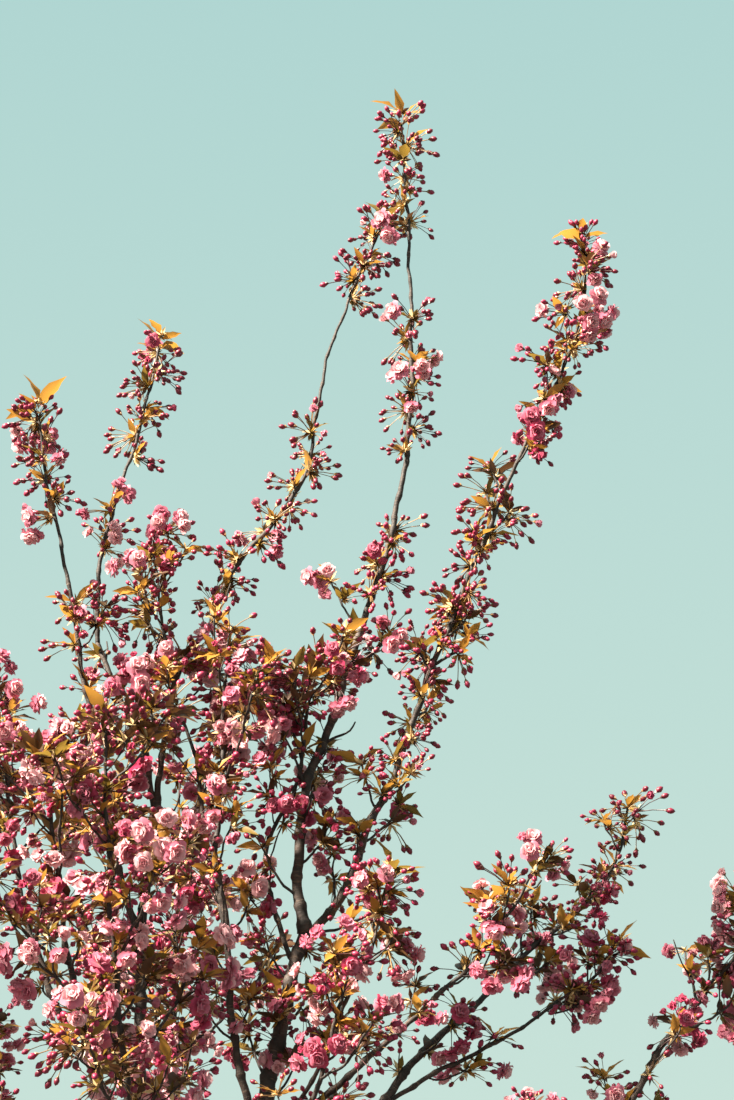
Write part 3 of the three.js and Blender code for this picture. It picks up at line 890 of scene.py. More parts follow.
class MeshStock:
    """Gathers many small closed tubes into one mesh. Lengths are in millimetres until it is made."""

    def __init__(self) -> None:
        """Starts with an empty stock."""
        self.points: list[Vectors] = []
        self.places: list[Vectors] = []
        self.faces: list[Vectors] = []
        self.count = 0

    def add_rings(self, rings: Vectors, ends: Vectors, places: Vectors, end_places: Vectors) -> None:
        """Adds rings of points, joined from one to the next and closed at both ends.

        Args:
            rings: The points, by ring and side.
            ends: The point that closes the first ring and the one that closes the last.
            places: The place along the limb of each point of the rings.
            end_places: The places of the two ends.
        """
        rows, sides = rings.shape[:2]
        index = self.count + np.arange(rows * sides).reshape(rows, sides)
        after = np.roll(index, -1, axis=1)
        first, last = (np.full(sides, self.count + rows * sides + end) for end in range(2))
        self.points += [rings.reshape(-1, 3), ends]
        self.places += [places.reshape(-1, 3), end_places]
        self.faces += [
            np.stack([index[:-1], after[:-1], after[1:], index[1:]], axis=-1).reshape(-1, 4),
            np.stack([after[0], index[0], first], axis=-1),
            np.stack([index[-1], after[-1], last], axis=-1),
        ]
        self.count += rows * sides + 2

    def add_tube(self, line: Vectors, radii: Vectors, sides: int, along: Vectors) -> None:
        """Adds a closed tube round a line.

        Args:
            line: The points of the line.
            radii: The radius at each point, or at each point and side.
            sides: The number of sides.
            along: The distance of each point from the line's start.
        """
        rows = len(line)
        tangent = np.gradient(line, axis=0)
        tangent /= np.linalg.norm(tangent, axis=1, keepdims=True)
        chord = line[-1] - line[0]
        side = np.cross(chord, SEAM)
        side /= np.linalg.norm(side)
        across = side - tangent * (tangent @ side)[:, None]
        across /= np.linalg.norm(across, axis=1, keepdims=True)
        over = np.cross(tangent, across)
        angle = np.arange(sides) * (math.tau / sides)
        cosine, sine = np.cos(angle), np.sin(angle)
        ring = cosine[None, :, None] * across[:, None, :] + sine[None, :, None] * over[:, None, :]
        radii = np.broadcast_to(np.asarray(radii, float).reshape(rows, -1), (rows, sides))
        rings = line[:, None, :] + ring * radii[..., None]
        height = np.broadcast_to(along[:, None], radii.shape)
        places = np.stack([cosine[None, :] * radii, sine[None, :] * radii, height], axis=-1)
        foot = line[0] - tangent[0] * radii[0].mean() * BULGES[0]
        tip = line[-1] + tangent[-1] * radii[-1].mean() * BULGES[1]
        end_places = np.array([[0, 0, along[0]], [0, 0, along[-1]]], float)
        self.add_rings(rings, np.stack([foot, tip]), places, end_places)

    def to_object(self, name: str) -> bpy.types.Object:
        """The gathered shapes as one object, with smooth faces and a place along each limb.

        Args:
            name: Its name.

        Returns:
            The object, in metres.
        """
        mesh = bpy.data.meshes.new(name)
        points = np.concatenate(self.points) * MILLIMETRE
        faces = [tuple(row) for block in self.faces for row in block.tolist()]
        mesh.from_pydata(points.tolist(), [], faces)
        note_places(mesh, np.concatenate(self.places) * MILLIMETRE)
        mesh.shade_smooth()
        return add_object(name, mesh)


@dataclass(frozen=True)
class Wave:
    """A wave over the bark: its height, its turns round the limb and its length along it.

    The length is that of one radian, in millimetres. A negative one slopes the other way, and an
    endless one leaves the wave the same all along the limb.
    """

    height: float
    turns: float
    length: float = math.inf

    def on(self, angle: Vectors | float, along: Vectors, phase: float = 0.0) -> Vectors:
        """The wave's height at angles and at distances along a limb."""
        return self.height * np.sin(self.turns * angle + along / self.length + phase)


def heights(waves: Sequence[Wave], angle: Vectors | float, along: Vectors, *phases: float) -> Vectors:
    """The height of several waves together, each from a phase of its own."""
    return sum(wave.on(angle, along, phase) for wave, phase in zip(waves, phases))


@dataclass
class WoodWork:
    """The trunk, boughs and twigs as meshes with the relief of the bark.

    The shoulder, swelling, fade and collar are each a share of the radius and the reach of it: in
    millimetres, and for the collar in radii of the limb's foot. A shape is a number of sides and
    the step from one ring to the next.
    """

    skeleton: Skeleton
    bark: bpy.types.Material
    bough_bark: bpy.types.Material
    twig_bark: bpy.types.Material
    voxel: float = 6.5
    eases: tuple[float, int] = (0.6, 9)
    trunk_sides: int = 48
    trunk_step: float = 12.0
    foot_depth: float = 40.0
    flare_depth: float = 0.75
    flare_height: float = 160.0
    root_lobes: int = 5
    lobe_share: float = 0.3
    shoulder: Span = (0.16, 60.0)
    stub_length: float = 230.0
    stub_rings: int = 20
    stub_sides: int = 20
    stub_swelling: Span = (0.42, 70.0)
    stub_fade: Span = (0.16, 80.0)
    trunk_seed: int = 3
    bough_seeds: int = 60
    carve_depth: float = 1.3
    hollows: Wave = Wave(2.6, 3, 170)
    smooth_foot: float = 12.0
    band: float = 21.0
    band_edge: float = 1.6
    band_trough: float = -0.4
    band_strength: Span = (0.55, 0.25)
    sways: tuple[Wave, ...] = (Wave(1.6, 2), Wave(0.9, 3, -90))
    drifts: tuple[Wave, ...] = (Wave(2.6, 0, 67), Wave(1.7, 0, 31))
    breaks: tuple[Wave, ...] = (Wave(1.0, 4, 35), Wave(1.0, 7, -22))
    lump: Wave = Wave(0.45, 2, 48)
    stout_radius: float = 25.0
    bough_sides: tuple[int, int] = (24, 18)
    bough_step: float = 7.0
    bough_start: float = 60.0
    collar: Span = (0.55, 1.5)
    bough_lumps: tuple[Wave, ...] = (Wave(0.03, 0, 29), Wave(0.02, 0, 11.7))
    bough_relief: Span = (0.015, 0.12)
    bough_knot: Span = (0.34, 3.4)
    knot_half: float = 6.5
    stem_shape: tuple[int, float] = (8, 8.5)
    main_twig_shape: tuple[int, float] = (5, 11.0)
    fine_twig_shape: tuple[int, float] = (4, 18.0)
    main_twig_radius: float = 3.2
    twig_knot: float = 0.3
    twig_ripple: Span = (0.18, 2.1)
    spur_reach: Span = (-2.0, 7.0)
    spur_radii: Span = (2.6, 2.2)
    spur_sides: int = 4

    def build(self) -> None:
        """Builds and dresses the three pieces of wood."""
        trunk = self.trunk_piece()
        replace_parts(dress(trunk, self.bark), "trunk")
        boughs = self.bough_piece()
        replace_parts(dress(boughs, self.bough_bark), *[spec.name for spec in LIMBS])
        twigs = self.twig_piece()
        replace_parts(dress(twigs, self.twig_bark), *[spec.name for spec in MASSES])

    def relief(self, angle: Vectors, along: Vectors, seed: int) -> Vectors:
        """The height of the bark's cross bands, from about -1 to 1.5, by angle and distance along.

        Args:
            angle: The angles round the limb.
            along: The distances along it.
            seed: The seed of the bands.

        Returns:
            The height at each angle and distance.
        """
        dice = Dice(seed)
        phases = [dice.span(0, math.tau) for _ in range(6)]
        sway = heights(self.sways, angle, along, phases[0], phases[1])
        drift = heights(self.drifts, angle, along, phases[0], phases[4])
        bands = np.sin(along * math.tau / self.band + sway + drift + phases[2])
        breaks = heights(self.breaks, angle, along, phases[3], phases[4])
        lumps = self.lump.on(angle, along, phases[5])
        even, broken = self.band_strength
        return np.clip(bands * self.band_edge, self.band_trough, 1) * (even + broken * breaks) + lumps

    def trunk_radii(self, levels: Vectors, angles: Vectors) -> Vectors:
        """The trunk's radius at each level and angle, with its lobed flare at the foot.

        Args:
            levels: The levels above the ground.
            angles: The angles round the trunk.

        Returns:
            The radii, by level and angle.
        """
        plain = between(*TRUNK.radii, np.clip(levels / TRUNK.length, 0, 1))
        slope, reach = self.shoulder
        plain = plain * (1 - slope * np.clip((levels - TRUNK.length + reach) / reach, 0, 1) ** 2)
        flare = self.flare_depth * np.exp(-np.maximum(levels, 0) / self.flare_height)
        lobes = 1 + self.lobe_share * np.cos(self.root_lobes * angles)[None, :]
        return plain[:, None] * (1 + flare[:, None] * lobes)

    def trunk_piece(self) -> bpy.types.Object:
        """The trunk with the feet of its boughs, melted into one skin and given its relief.

        Returns:
            The object.
        """
        stock = MeshStock()
        levels = np.arange(-self.foot_depth, TRUNK.length + 1, self.trunk_step)
        angle = np.arange(self.trunk_sides) * (math.tau / self.trunk_sides)
        radii = self.trunk_radii(levels, np.pi / 2 - angle)
        line = self.skeleton.limbs[TRUNK.name].axis.at(np.clip(levels / TRUNK.length, 0, 1))
        line[:, 2] = levels
        ring = np.stack([np.sin(angle), -np.cos(angle), np.zeros(self.trunk_sides)], axis=-1)
        rings = line[:, None, :] + ring[None] * radii[..., None]
        stock.add_rings(rings, line[[0, -1]], rings, line[[0, -1]])
        for spec in LIMBS:
            if spec.parent == TRUNK.name:
                self.add_stub(stock, spec)
        piece = stock.to_object("tree_trunk")
        self.melt(piece)
        self.cut_foot(piece)
        self.carve(piece)
        return piece

    def add_stub(self, stock: MeshStock, spec: LimbSpec) -> None:
        """Adds the foot of a bough, with a swelling where it leaves the trunk.

        Args:
            stock: The stock that it goes into.
            spec: The bough.
        """
        wood = self.skeleton.limbs[spec.name]
        distance = np.linspace(0, self.stub_length, self.stub_rings)
        share = distance / spec.length
        height, reach = self.stub_swelling
        swelling = 1 + height * np.exp(-((distance - reach) / reach) ** 2)
        loss, reach = self.stub_fade
        fade = (1 - loss) + loss * np.clip((self.stub_length - distance) / reach, 0, 1)
        stock.add_tube(wood.line(share), wood.radii_at(share) * swelling * fade, self.stub_sides, distance)

    def melt(self, piece: bpy.types.Object) -> None:
        """Remeshes a piece made of crossing tubes into one smooth skin.

        Args:
            piece: The piece.
        """
        remesh = piece.modifiers.new("melt", "REMESH")
        remesh.mode = "VOXEL"
        remesh.voxel_size = self.voxel * MILLIMETRE
        smooth = piece.modifiers.new("ease", "SMOOTH")
        smooth.factor, smooth.iterations = self.eases
        settle(piece)

    def cut_foot(self, piece: bpy.types.Object) -> None:
        """Cuts the trunk flat at ground level and closes the cut.

        Args:
            piece: The trunk.
        """
        shape = bmesh.new()
        shape.from_mesh(piece.data)
        everything = shape.verts[:] + shape.edges[:] + shape.faces[:]
        bmesh.ops.bisect_plane(
            shape, geom=everything, plane_co=(0, 0, 0), plane_no=(0, 0, 1), clear_inner=True
        )
        rim = [edge for edge in shape.edges if edge.is_boundary]
        bmesh.ops.holes_fill(shape, edges=rim, sides=0)
        bmesh.ops.triangulate(shape, faces=[face for face in shape.faces if len(face.verts) > 4])
        shape.to_mesh(piece.data)
        shape.free()

    def carve(self, piece: bpy.types.Object) -> None:
        """Moves the skin of the trunk in and out by the bark's relief, and notes each point's place.

        Args:
            piece: The trunk.
        """
        mesh = piece.data
        points, normals = (np.empty(len(mesh.vertices) * 3, np.float32) for _ in range(2))
        mesh.vertices.foreach_get("co", points)
        mesh.vertices.foreach_get("normal", normals)
        points = points.reshape(-1, 3)
        angle = np.arctan2(points[:, 1], points[:, 0])
        height = points[:, 2] / MILLIMETRE
        relief = self.relief(angle, height, self.trunk_seed)
        depth = self.carve_depth * relief + self.hollows.on(angle, height)
        depth *= np.clip(height / self.smooth_foot, 0, 1) * MILLIMETRE
        moved = points + normals.reshape(-1, 3) * depth[:, None]
        moved[:, 2] = np.maximum(moved[:, 2], 0)
        mesh.vertices.foreach_set("co", moved.astype(np.float32).ravel())
        note_places(mesh, moved)
        mesh.shade_smooth()
        mesh.update()

    def bough_piece(self) -> bpy.types.Object:
        """Every bough and limb as one mesh of tapering tubes with collars, knots and relief.

        Returns:
            The object.
        """
        stock = MeshStock()
        for number, spec in enumerate(LIMBS):
            wood = self.skeleton.limbs[spec.name]
            on_trunk = spec.parent == TRUNK.name
            distance = np.arange(self.bough_start if on_trunk else 0.0, spec.length, self.bough_step)
            share = np.append(distance, spec.length) / spec.length
            distance = share * spec.length
            radius = wood.radii_at(share)
            if not on_trunk:
                height, reach = self.collar
                radius *= 1 + height * np.exp(-distance / (reach * spec.radii[0]))
            sides = self.bough_sides[0 if spec.radii[0] > self.stout_radius else 1]
            angle = np.arange(sides) * (math.tau / sides)
            relief = self.relief(angle[None, :], distance[:, None], self.bough_seeds + number)
            lumps = heights(self.bough_lumps, 0.0, distance, number, 2 * number)
            share_depth, depth = self.bough_relief
            radii = radius[:, None] * (1 + share_depth * relief + lumps[:, None]) + depth * relief
            most, height = self.bough_knot
            radii *= 1 + (self.knots(wood, share) * np.minimum(most, height / radius))[:, None]
            stock.add_tube(wood.line(share), radii, sides, distance)
        return stock.to_object("tree_boughs")

    def knots(self, wood: Wood, share: Vectors) -> Vectors:
        """The swelling, from 0 to 1, where spurs leave the wood.

        Args:
            wood: The wood.
            share: Where on the wood, as fractions of its length.

        Returns:
            The swelling at each fraction.
        """
        swelling = np.zeros_like(share)
        for place in wood.knots:
            distance = (share - place) * wood.axis.length
            swelling = np.maximum(swelling, np.exp(-(distance / self.knot_half) ** 2))
        return swelling

    def twig_piece(self) -> bpy.types.Object:
        """The stems and twigs of every mass as one mesh, knotted where their spurs leave.

        Returns:
            The object.
        """
        stock = MeshStock()
        for wood in self.skeleton.stems.values():
            self.add_twig(stock, wood, *self.stem_shape)
        for wood in self.skeleton.twigs:
            is_main = wood.radii[0] > self.main_twig_radius
            self.add_twig(stock, wood, *(self.main_twig_shape if is_main else self.fine_twig_shape))
        for spur in self.skeleton.spurs:
            if not spur.is_tip:
                low, high = self.spur_reach
                ends = np.array([spur.place + spur.outward * low, spur.place + spur.outward * high])
                distance = np.array([0.0, high - low])
                stock.add_tube(ends, np.array(self.spur_radii), self.spur_sides, distance)
        return stock.to_object("tree_twigs")

    def add_twig(self, stock: MeshStock, wood: Wood, sides: int, step: float) -> None:
        """Adds one stem or twig.

        Args:
            stock: The stock that it goes into.
            wood: The stem or twig.
            sides: The number of its sides.
            step: The length from one ring to the next.
        """
        rows = max(3, int(wood.axis.length / step))
        share = np.linspace(0, 1, rows + 1)
        depth, turns = self.twig_ripple
        swelling = 1 + self.twig_knot * self.knots(wood, share)
        radius = wood.radii_at(share) * swelling + depth * np.sin(share * rows * turns)
        stock.add_tube(wood.line(share), radius, sides, share * wood.axis.length)


class Tint(Enum):
    """The plain colours dealt out to the sprays, cluster by cluster."""

    CRIMSON = "crimson"
    MAGENTA = "magenta"
    PALE = "pale"
    PINK = "pink"
    ROSE = "rose"
    GOLD = "gold"
    BRONZE = "bronze"
    OLIVE = "olive"
    OCHRE = "ochre"
    WINE = "wine"
    RUSSET = "russet"


@dataclass(frozen=True)
class SoftFinish:
    """The finish of petals, buds and leaves: one plain colour, part of it let through as light.

    The glow is how much brighter the light let through is than the colour.
    """

    colour: Colour
    through: float
    roughness: float
    sheen: float = 0.0
    glow: float = 1.25

    def make(self, name: str) -> bpy.types.Material:
        """The material of this finish.

        Args:
            name: Its name.

        Returns:
            The material.
        """
        material, surface = new_material(name)
        tree = material.node_tree
        feed(tree, surface, {
            "Base Color": (*self.colour, 1.0),
            "Roughness": self.roughness,
            "Sheen Weight": self.sheen,
        })
        if self.through > 0:
            brighter = [min(1.0, part * self.glow) for part in self.colour]
            passed = add_node(tree, "ShaderNodeBsdfTranslucent", {"Color": (*brighter, 1.0)})
            blend = add_node(tree, "ShaderNodeMixShader", {
                "Fac": self.through,
                1: surface.outputs["BSDF"],
                2: passed.outputs["BSDF"],
            })
            feed(tree, tree.nodes["Material Output"], {"Surface": blend.outputs["Shader"]})
        return material


FINISHES = {
    Tint.CRIMSON: SoftFinish((0.155, 0.0045, 0.025), 0.14, 0.45),
    Tint.MAGENTA: SoftFinish((0.26, 0.012, 0.053), 0.2, 0.5),
    Tint.PALE: SoftFinish((0.64, 0.375, 0.405), 0.42, 0.6, 0.2),
    Tint.PINK: SoftFinish((0.5, 0.16, 0.232), 0.42, 0.6, 0.2),
    Tint.ROSE: SoftFinish((0.4, 0.045, 0.11), 0.42, 0.6, 0.2),
    Tint.GOLD: SoftFinish((0.36, 0.18, 0.03), 0.34, 0.45),
    Tint.BRONZE: SoftFinish((0.062, 0.027, 0.009), 0.25, 0.4),
    Tint.OLIVE: SoftFinish((0.15, 0.095, 0.016), 0.38, 0.45),
    Tint.OCHRE: SoftFinish((0.62, 0.46, 0.24), 0.4, 0.55),
    Tint.WINE: SoftFinish((0.045, 0.011, 0.011), 0.0, 0.5),
    Tint.RUSSET: SoftFinish((0.19, 0.10, 0.034), 0.0, 0.5),
}


@dataclass(frozen=True)
class Pattern:
    """A pattern in the bark: its waves to a metre each way, its detail and where it sets in."""

    waves: Triple
    detail: float
    edges: Span | None = None
    roughness: float = 0.6

    def add(self, tree: bpy.types.NodeTree, place: bpy.types.NodeSocket) -> bpy.types.NodeSocket:
        """Adds the pattern to a tree, over the places along a limb, as a value from 0 to 1.

        Args:
            tree: The tree.
            place: The socket with the place along a limb.

        Returns:
            The socket with the value.
        """
        mapping = add_node(tree, "ShaderNodeMapping", {"Vector": place, "Scale": self.waves})
        noise = add_node(tree, "ShaderNodeTexNoise", {
            "Vector": mapping.outputs["Vector"],
            "Scale": 1.0,
            "Detail": self.detail,
            "Roughness": self.roughness,
        })
        if self.edges is None:
            return noise.outputs["Fac"]
        low, high = self.edges
        inputs = {"Value": noise.outputs["Fac"], "From Min": low, "From Max": high}
        ramp = add_node(tree, "ShaderNodeMapRange", inputs, interpolation_type="SMOOTHSTEP")
        return ramp.outputs["Result"]


@dataclass(frozen=True)
class BarkFinish:
    """The finish of the bark: dark brown, with paler cross bands where pores stand in rows."""

    deep: Colour = (0.012, 0.007, 0.005)
    plain: Colour = (0.042, 0.026, 0.019)
    pale: Colour = (0.135, 0.088, 0.055)
    pores: Pattern = Pattern((24.0, 24.0, 230.0), 3.0, (0.54, 0.62))
    rows: Pattern = Pattern((4.0, 4.0, 32.0), 2.0, (0.44, 0.58))
    blotches: Pattern = Pattern((22.0, 22.0, 30.0), 5.0, (0.4, 0.62))
    grit: Pattern = Pattern((160.0, 160.0, 320.0), 2.0)
    roughness: Span = (0.55, 0.9)
    band_scale: float = 1.0
    bump: float = 0.5
    bump_depth: float = 0.002

    def group(self) -> bpy.types.NodeTree:
        """The node group that puts out the bark's colour, roughness and height.

        Returns:
            The group, which is made once.
        """
        name = "bark_bands"
        if name in bpy.data.node_groups:
            return bpy.data.node_groups[name]
        tree = bpy.data.node_groups.new(name, "ShaderNodeTree")
        add_sockets(tree, "INPUT", {"Deep": "Color", "Plain": "Color", "Pale": "Color", "Scale": "Float"})
        add_sockets(tree, "OUTPUT", {"Color": "Color", "Roughness": "Float", "Height": "Float"})
        given = add_node(tree, "NodeGroupInput").outputs
        place = add_node(tree, "ShaderNodeAttribute", attribute_name="limb_place").outputs["Vector"]
        patterns = (self.pores, self.rows, self.blotches, self.grit)
        pores, rows, blotches, grit = (pattern.add(tree, place) for pattern in patterns)
        crossing = add_node(tree, "ShaderNodeMath", {0: pores, 1: rows}, operation="MULTIPLY")
        bands = crossing.outputs["Value"]
        base = blended(tree, blotches, given["Deep"], given["Plain"])
        low, high = self.roughness
        rough = add_node(tree, "ShaderNodeMapRange", {"Value": grit, "To Min": low, "To Max": high})
        height = add_node(
            tree, "ShaderNodeMath", {0: bands, 1: given["Scale"], 2: grit}, operation="MULTIPLY_ADD"
        )
        add_node(tree, "NodeGroupOutput", {
            "Color": blended(tree, bands, base, given["Pale"]),
            "Roughness": rough.outputs["Result"],
            "Height": height.outputs["Value"],
        })
        return tree

    def make(self, name: str) -> bpy.types.Material:
        """The material of this finish.

        Args:
            name: Its name.

        Returns:
            The material.
        """
        material, surface = new_material(name)
        tree = material.node_tree
        bark = add_node(tree, "ShaderNodeGroup", {
            "Deep": (*self.deep, 1.0),
            "Plain": (*self.plain, 1.0),
            "Pale": (*self.pale, 1.0),
            "Scale": self.band_scale,
        }, node_tree=self.group())
        bump = add_node(tree, "ShaderNodeBump", {
            "Strength": self.bump,
            "Distance": self.bump_depth,
            "Height": bark.outputs["Height"],
        })
        feed(tree, surface, {
            "Base Color": bark.outputs["Color"],
            "Roughness": bark.outputs["Roughness"],
            "Normal": bump.outputs["Normal"],
        })
        return material


TRUNK_BARK = BarkFinish()
BOUGH_BARK = BarkFinish(pale=(0.085, 0.056, 0.037))
TWIG_BARK = BarkFinish((0.008, 0.005, 0.004), (0.024, 0.015, 0.011), (0.09, 0.062, 0.045), bump=0.3)


@dataclass(frozen=True)
class FlowerShapes:
    """The small meshes that are repeated over the tree, in millimetres, each from its root up +Z.

    A stalk bends towards +X, which is turned downwards on the tree. Each row is a share of the way
    up and the radius or width there: in millimetres for the stalk, else as a share of the widest.
    """

    stalk: float = 63.0
    bend: float = 0.18
    stalk_rows: tuple[Span, ...] = ((0.0, 1.4), (0.55, 1.1), (0.93, 1.2), (1.055, 6.9))
    bud: Span = (19.0, 6.9)
    bud_seat: float = 1.5
    bud_rows: tuple[Span, ...] = ((0.14, 0.66), (0.44, 1.0), (0.78, 0.68))
    petal: float = 25.0
    petal_sizes: Span = (0.88, 1.1)
    petal_spin: float = 9.0
    petal_tilt: float = 11.0
    petal_half: float = 0.44
    petal_bow: Span = (0.1, 0.2)
    petal_ruffle: Span = (-0.7, 1.5)
    petal_tips: Span = (0.9, 1.02)
    bent_back: float = 60.0
    leaf_rows: tuple[Span, ...] = (
        (0.0, 0.08), (0.13, 0.1), (0.27, 0.74), (0.46, 1.0), (0.66, 0.8), (0.84, 0.36)
    )
    leaf_fold: float = 0.34
    leaf_wave: float = 0.16

    def stalk_end(self) -> tuple[Vector, Vector]:
        """The end of the stalk and its direction there."""
        end = Vector((self.bend * self.stalk, 0.0, self.stalk))
        return end, Vector((2 * self.bend, 0.0, 1.0)).normalized()

    def stalk_mesh(self) -> Mesh:
        """A thin three-sided stalk that opens into the three points of the calyx.

        Returns:
            The points and faces.
        """
        points, faces = [], []
        for share, radius in self.stalk_rows:
            centre = Vector((self.bend * share * share * self.stalk, 0.0, share * self.stalk))
            points += [centre + around(corner / 3) * radius for corner in range(3)]
        last = len(points) - 3
        for row in range(0, last, 3):
            for corner in range(3):
                low, high = row + corner, row + (corner + 1) % 3
                faces.append((low, high, high + 3, low + 3))
        faces += [(2, 1, 0), (last, last + 1, last + 2)]
        return np.array(points), faces

    def bud_mesh(self) -> Mesh:
        """A plump six-sided bud that swells below its middle and ends in a blunt point.

        Returns:
            The points and faces.
        """
        end, along = self.stalk_end()
        turn = UP.rotation_difference(along)
        length, radius = self.bud
        points = [end - along * self.bud_seat]
        for row, (height, wide) in enumerate(self.bud_rows):
            for corner in range(6):
                across = around((corner + row / 2) / 6) * (radius * wide)
                points.append(end + turn @ (across + UP * (height * length)))
        points.append(end + along * length)
        tip = len(points) - 1
        faces = []
        for corner in range(6):
            low, after = 1 + corner, 1 + (corner + 1) % 6
            faces.append((0, after, low))
            for _ in range(len(self.bud_rows) - 1):
                faces += [(low, after, low + 6), (after, after + 6, low + 6)]
                low, after = low + 6, after + 6
            faces.append((low, after, tip))
        return np.array(points), faces

    def petals(self, rings: Sequence[tuple[int, float, float, float]], seed: int) -> Mesh:
        """Rings of ruffled petals round the end of the stalk.

        Args:
            rings: For each ring, the number of petals, their opening angle in degrees, their length
                as a share of the longest, and how far up the flower they start.
            seed: The seed of their unevenness.

        Returns:
            The points and faces.
        """
        dice = Dice(seed)
        end, along = self.stalk_end()
        turn = UP.rotation_difference(along)
        points: list[Vector] = []
        faces: list[tuple[int, ...]] = []
        for number, opening, share, lift in rings:
            first = dice.span(0, 360)
            for petal in range(number):
                spin = first + petal * 360 / number + dice.span(-self.petal_spin, self.petal_spin)
                tilt = opening + dice.span(-self.petal_tilt, self.petal_tilt)
                stand = Matrix.Rotation(spin * DEGREE, 3, "Z"), Matrix.Rotation(tilt * DEGREE, 3, "Y")
                base = len(points)
                for corner in self.petal_outline(share, opening, dice):
                    local = stand[0] @ (stand[1] @ Vector(corner)) + UP * (lift * self.petal)
                    points.append(end + turn @ local)
                faces += [(base, base + rim, base + rim % 8 + 1) for rim in range(1, 9)]
        return np.array(points), faces

    def petal_outline(self, share: float, opening: float, dice: Dice) -> list[Triple]:
        """The middle of one petal and then its rounded, ruffled rim, with its foot first.

        Args:
            share: The length of its ring's petals, as a share of the longest.
            opening: How far its ring opens, in degrees. A wide open petal bends back.
            dice: The source of its unevenness.

        Returns:
            Nine points, the petal lying along +Z with its outer side towards +X.
        """
        long = self.petal * share * dice.span(*self.petal_sizes)
        wide = long * self.petal_half
        bow = dice.span(*self.petal_bow) * long * (1 if opening < self.bent_back else -1)
        left, tip, right = (-bow * dice.span(*self.petal_ruffle) for _ in range(3))
        return [
            (bow, 0, 0.54 * long), (0, 0, 0), (0, wide * 0.74, 0.36 * long), (0, wide, 0.66 * long),
            (right, wide * 0.6, 0.93 * long), (tip, 0, dice.span(*self.petal_tips) * long),
            (left, -wide * 0.6, 0.93 * long), (0, -wide, 0.66 * long), (0, -wide * 0.74, 0.36 * long),
        ]

    def leaf_mesh(self, length: float, width: float, curl: float) -> Mesh:
        """A young leaf on a short stalk, folded along its middle, that curls towards +X.

        Args:
            length: From the foot of its stalk to its drawn-out tip.
            width: Across the widest part.
            curl: How far the tip bends over, as a share of the length.

        Returns:
            The points and faces.
        """
        points, faces = [], []
        for row, (share, wide) in enumerate(self.leaf_rows):
            bend = curl * share * share * length
            half = wide * width * 0.5
            edge = bend - half * self.leaf_fold
            wave = half * (self.leaf_wave if row % 2 else -self.leaf_wave)
            height = share * length
            points += [(bend, 0.0, height), (edge + wave, -half, height), (edge - wave, half, height)]
        points.append((curl * length, 0.0, length))
        last = 3 * len(self.leaf_rows) - 3
        for row in range(0, last, 3):
            faces += [(row, row + 3, row + 4, row + 1), (row, row + 2, row + 5, row + 3)]
        faces += [(last, last + 3, last + 1), (last, last + 2, last + 3)]
        return np.array(points), faces

    def bract_mesh(self) -> Mesh:
        """A small scale at the foot of a cluster."""
        points = np.array([(0, 0, 0), (-2, -4.4, 12), (-2, 4.4, 12), (4, 0, 27), (2, 0, 12)], float)
        return points, [(0, 4, 1), (0, 2, 4), (1, 4, 3), (4, 2, 3)]


class Kind(Enum):
    """The kinds of small piece that the clusters are made of."""

    STALK = "stalk"
    BUD = "bud"
    SHORT_STALK = "short_stalk"
    LOW_BUD = "low_bud"
    HALF_OPEN = "half_open"
    OUTER_PETALS = "outer_petals"
    INNER_PETALS = "inner_petals"
    CUP = "cup"
    LEAF = "leaf"
    BROAD_LEAF = "broad_leaf"
    BRACT = "bract"


@dataclass
class Places:
    """The places, turns and sizes of one kind of small piece in one tint."""

    points: list[Vector] = field(default_factory=list)
    turns: list[tuple[float, float, float, float]] = field(default_factory=list)
    sizes: list[float] = field(default_factory=list)


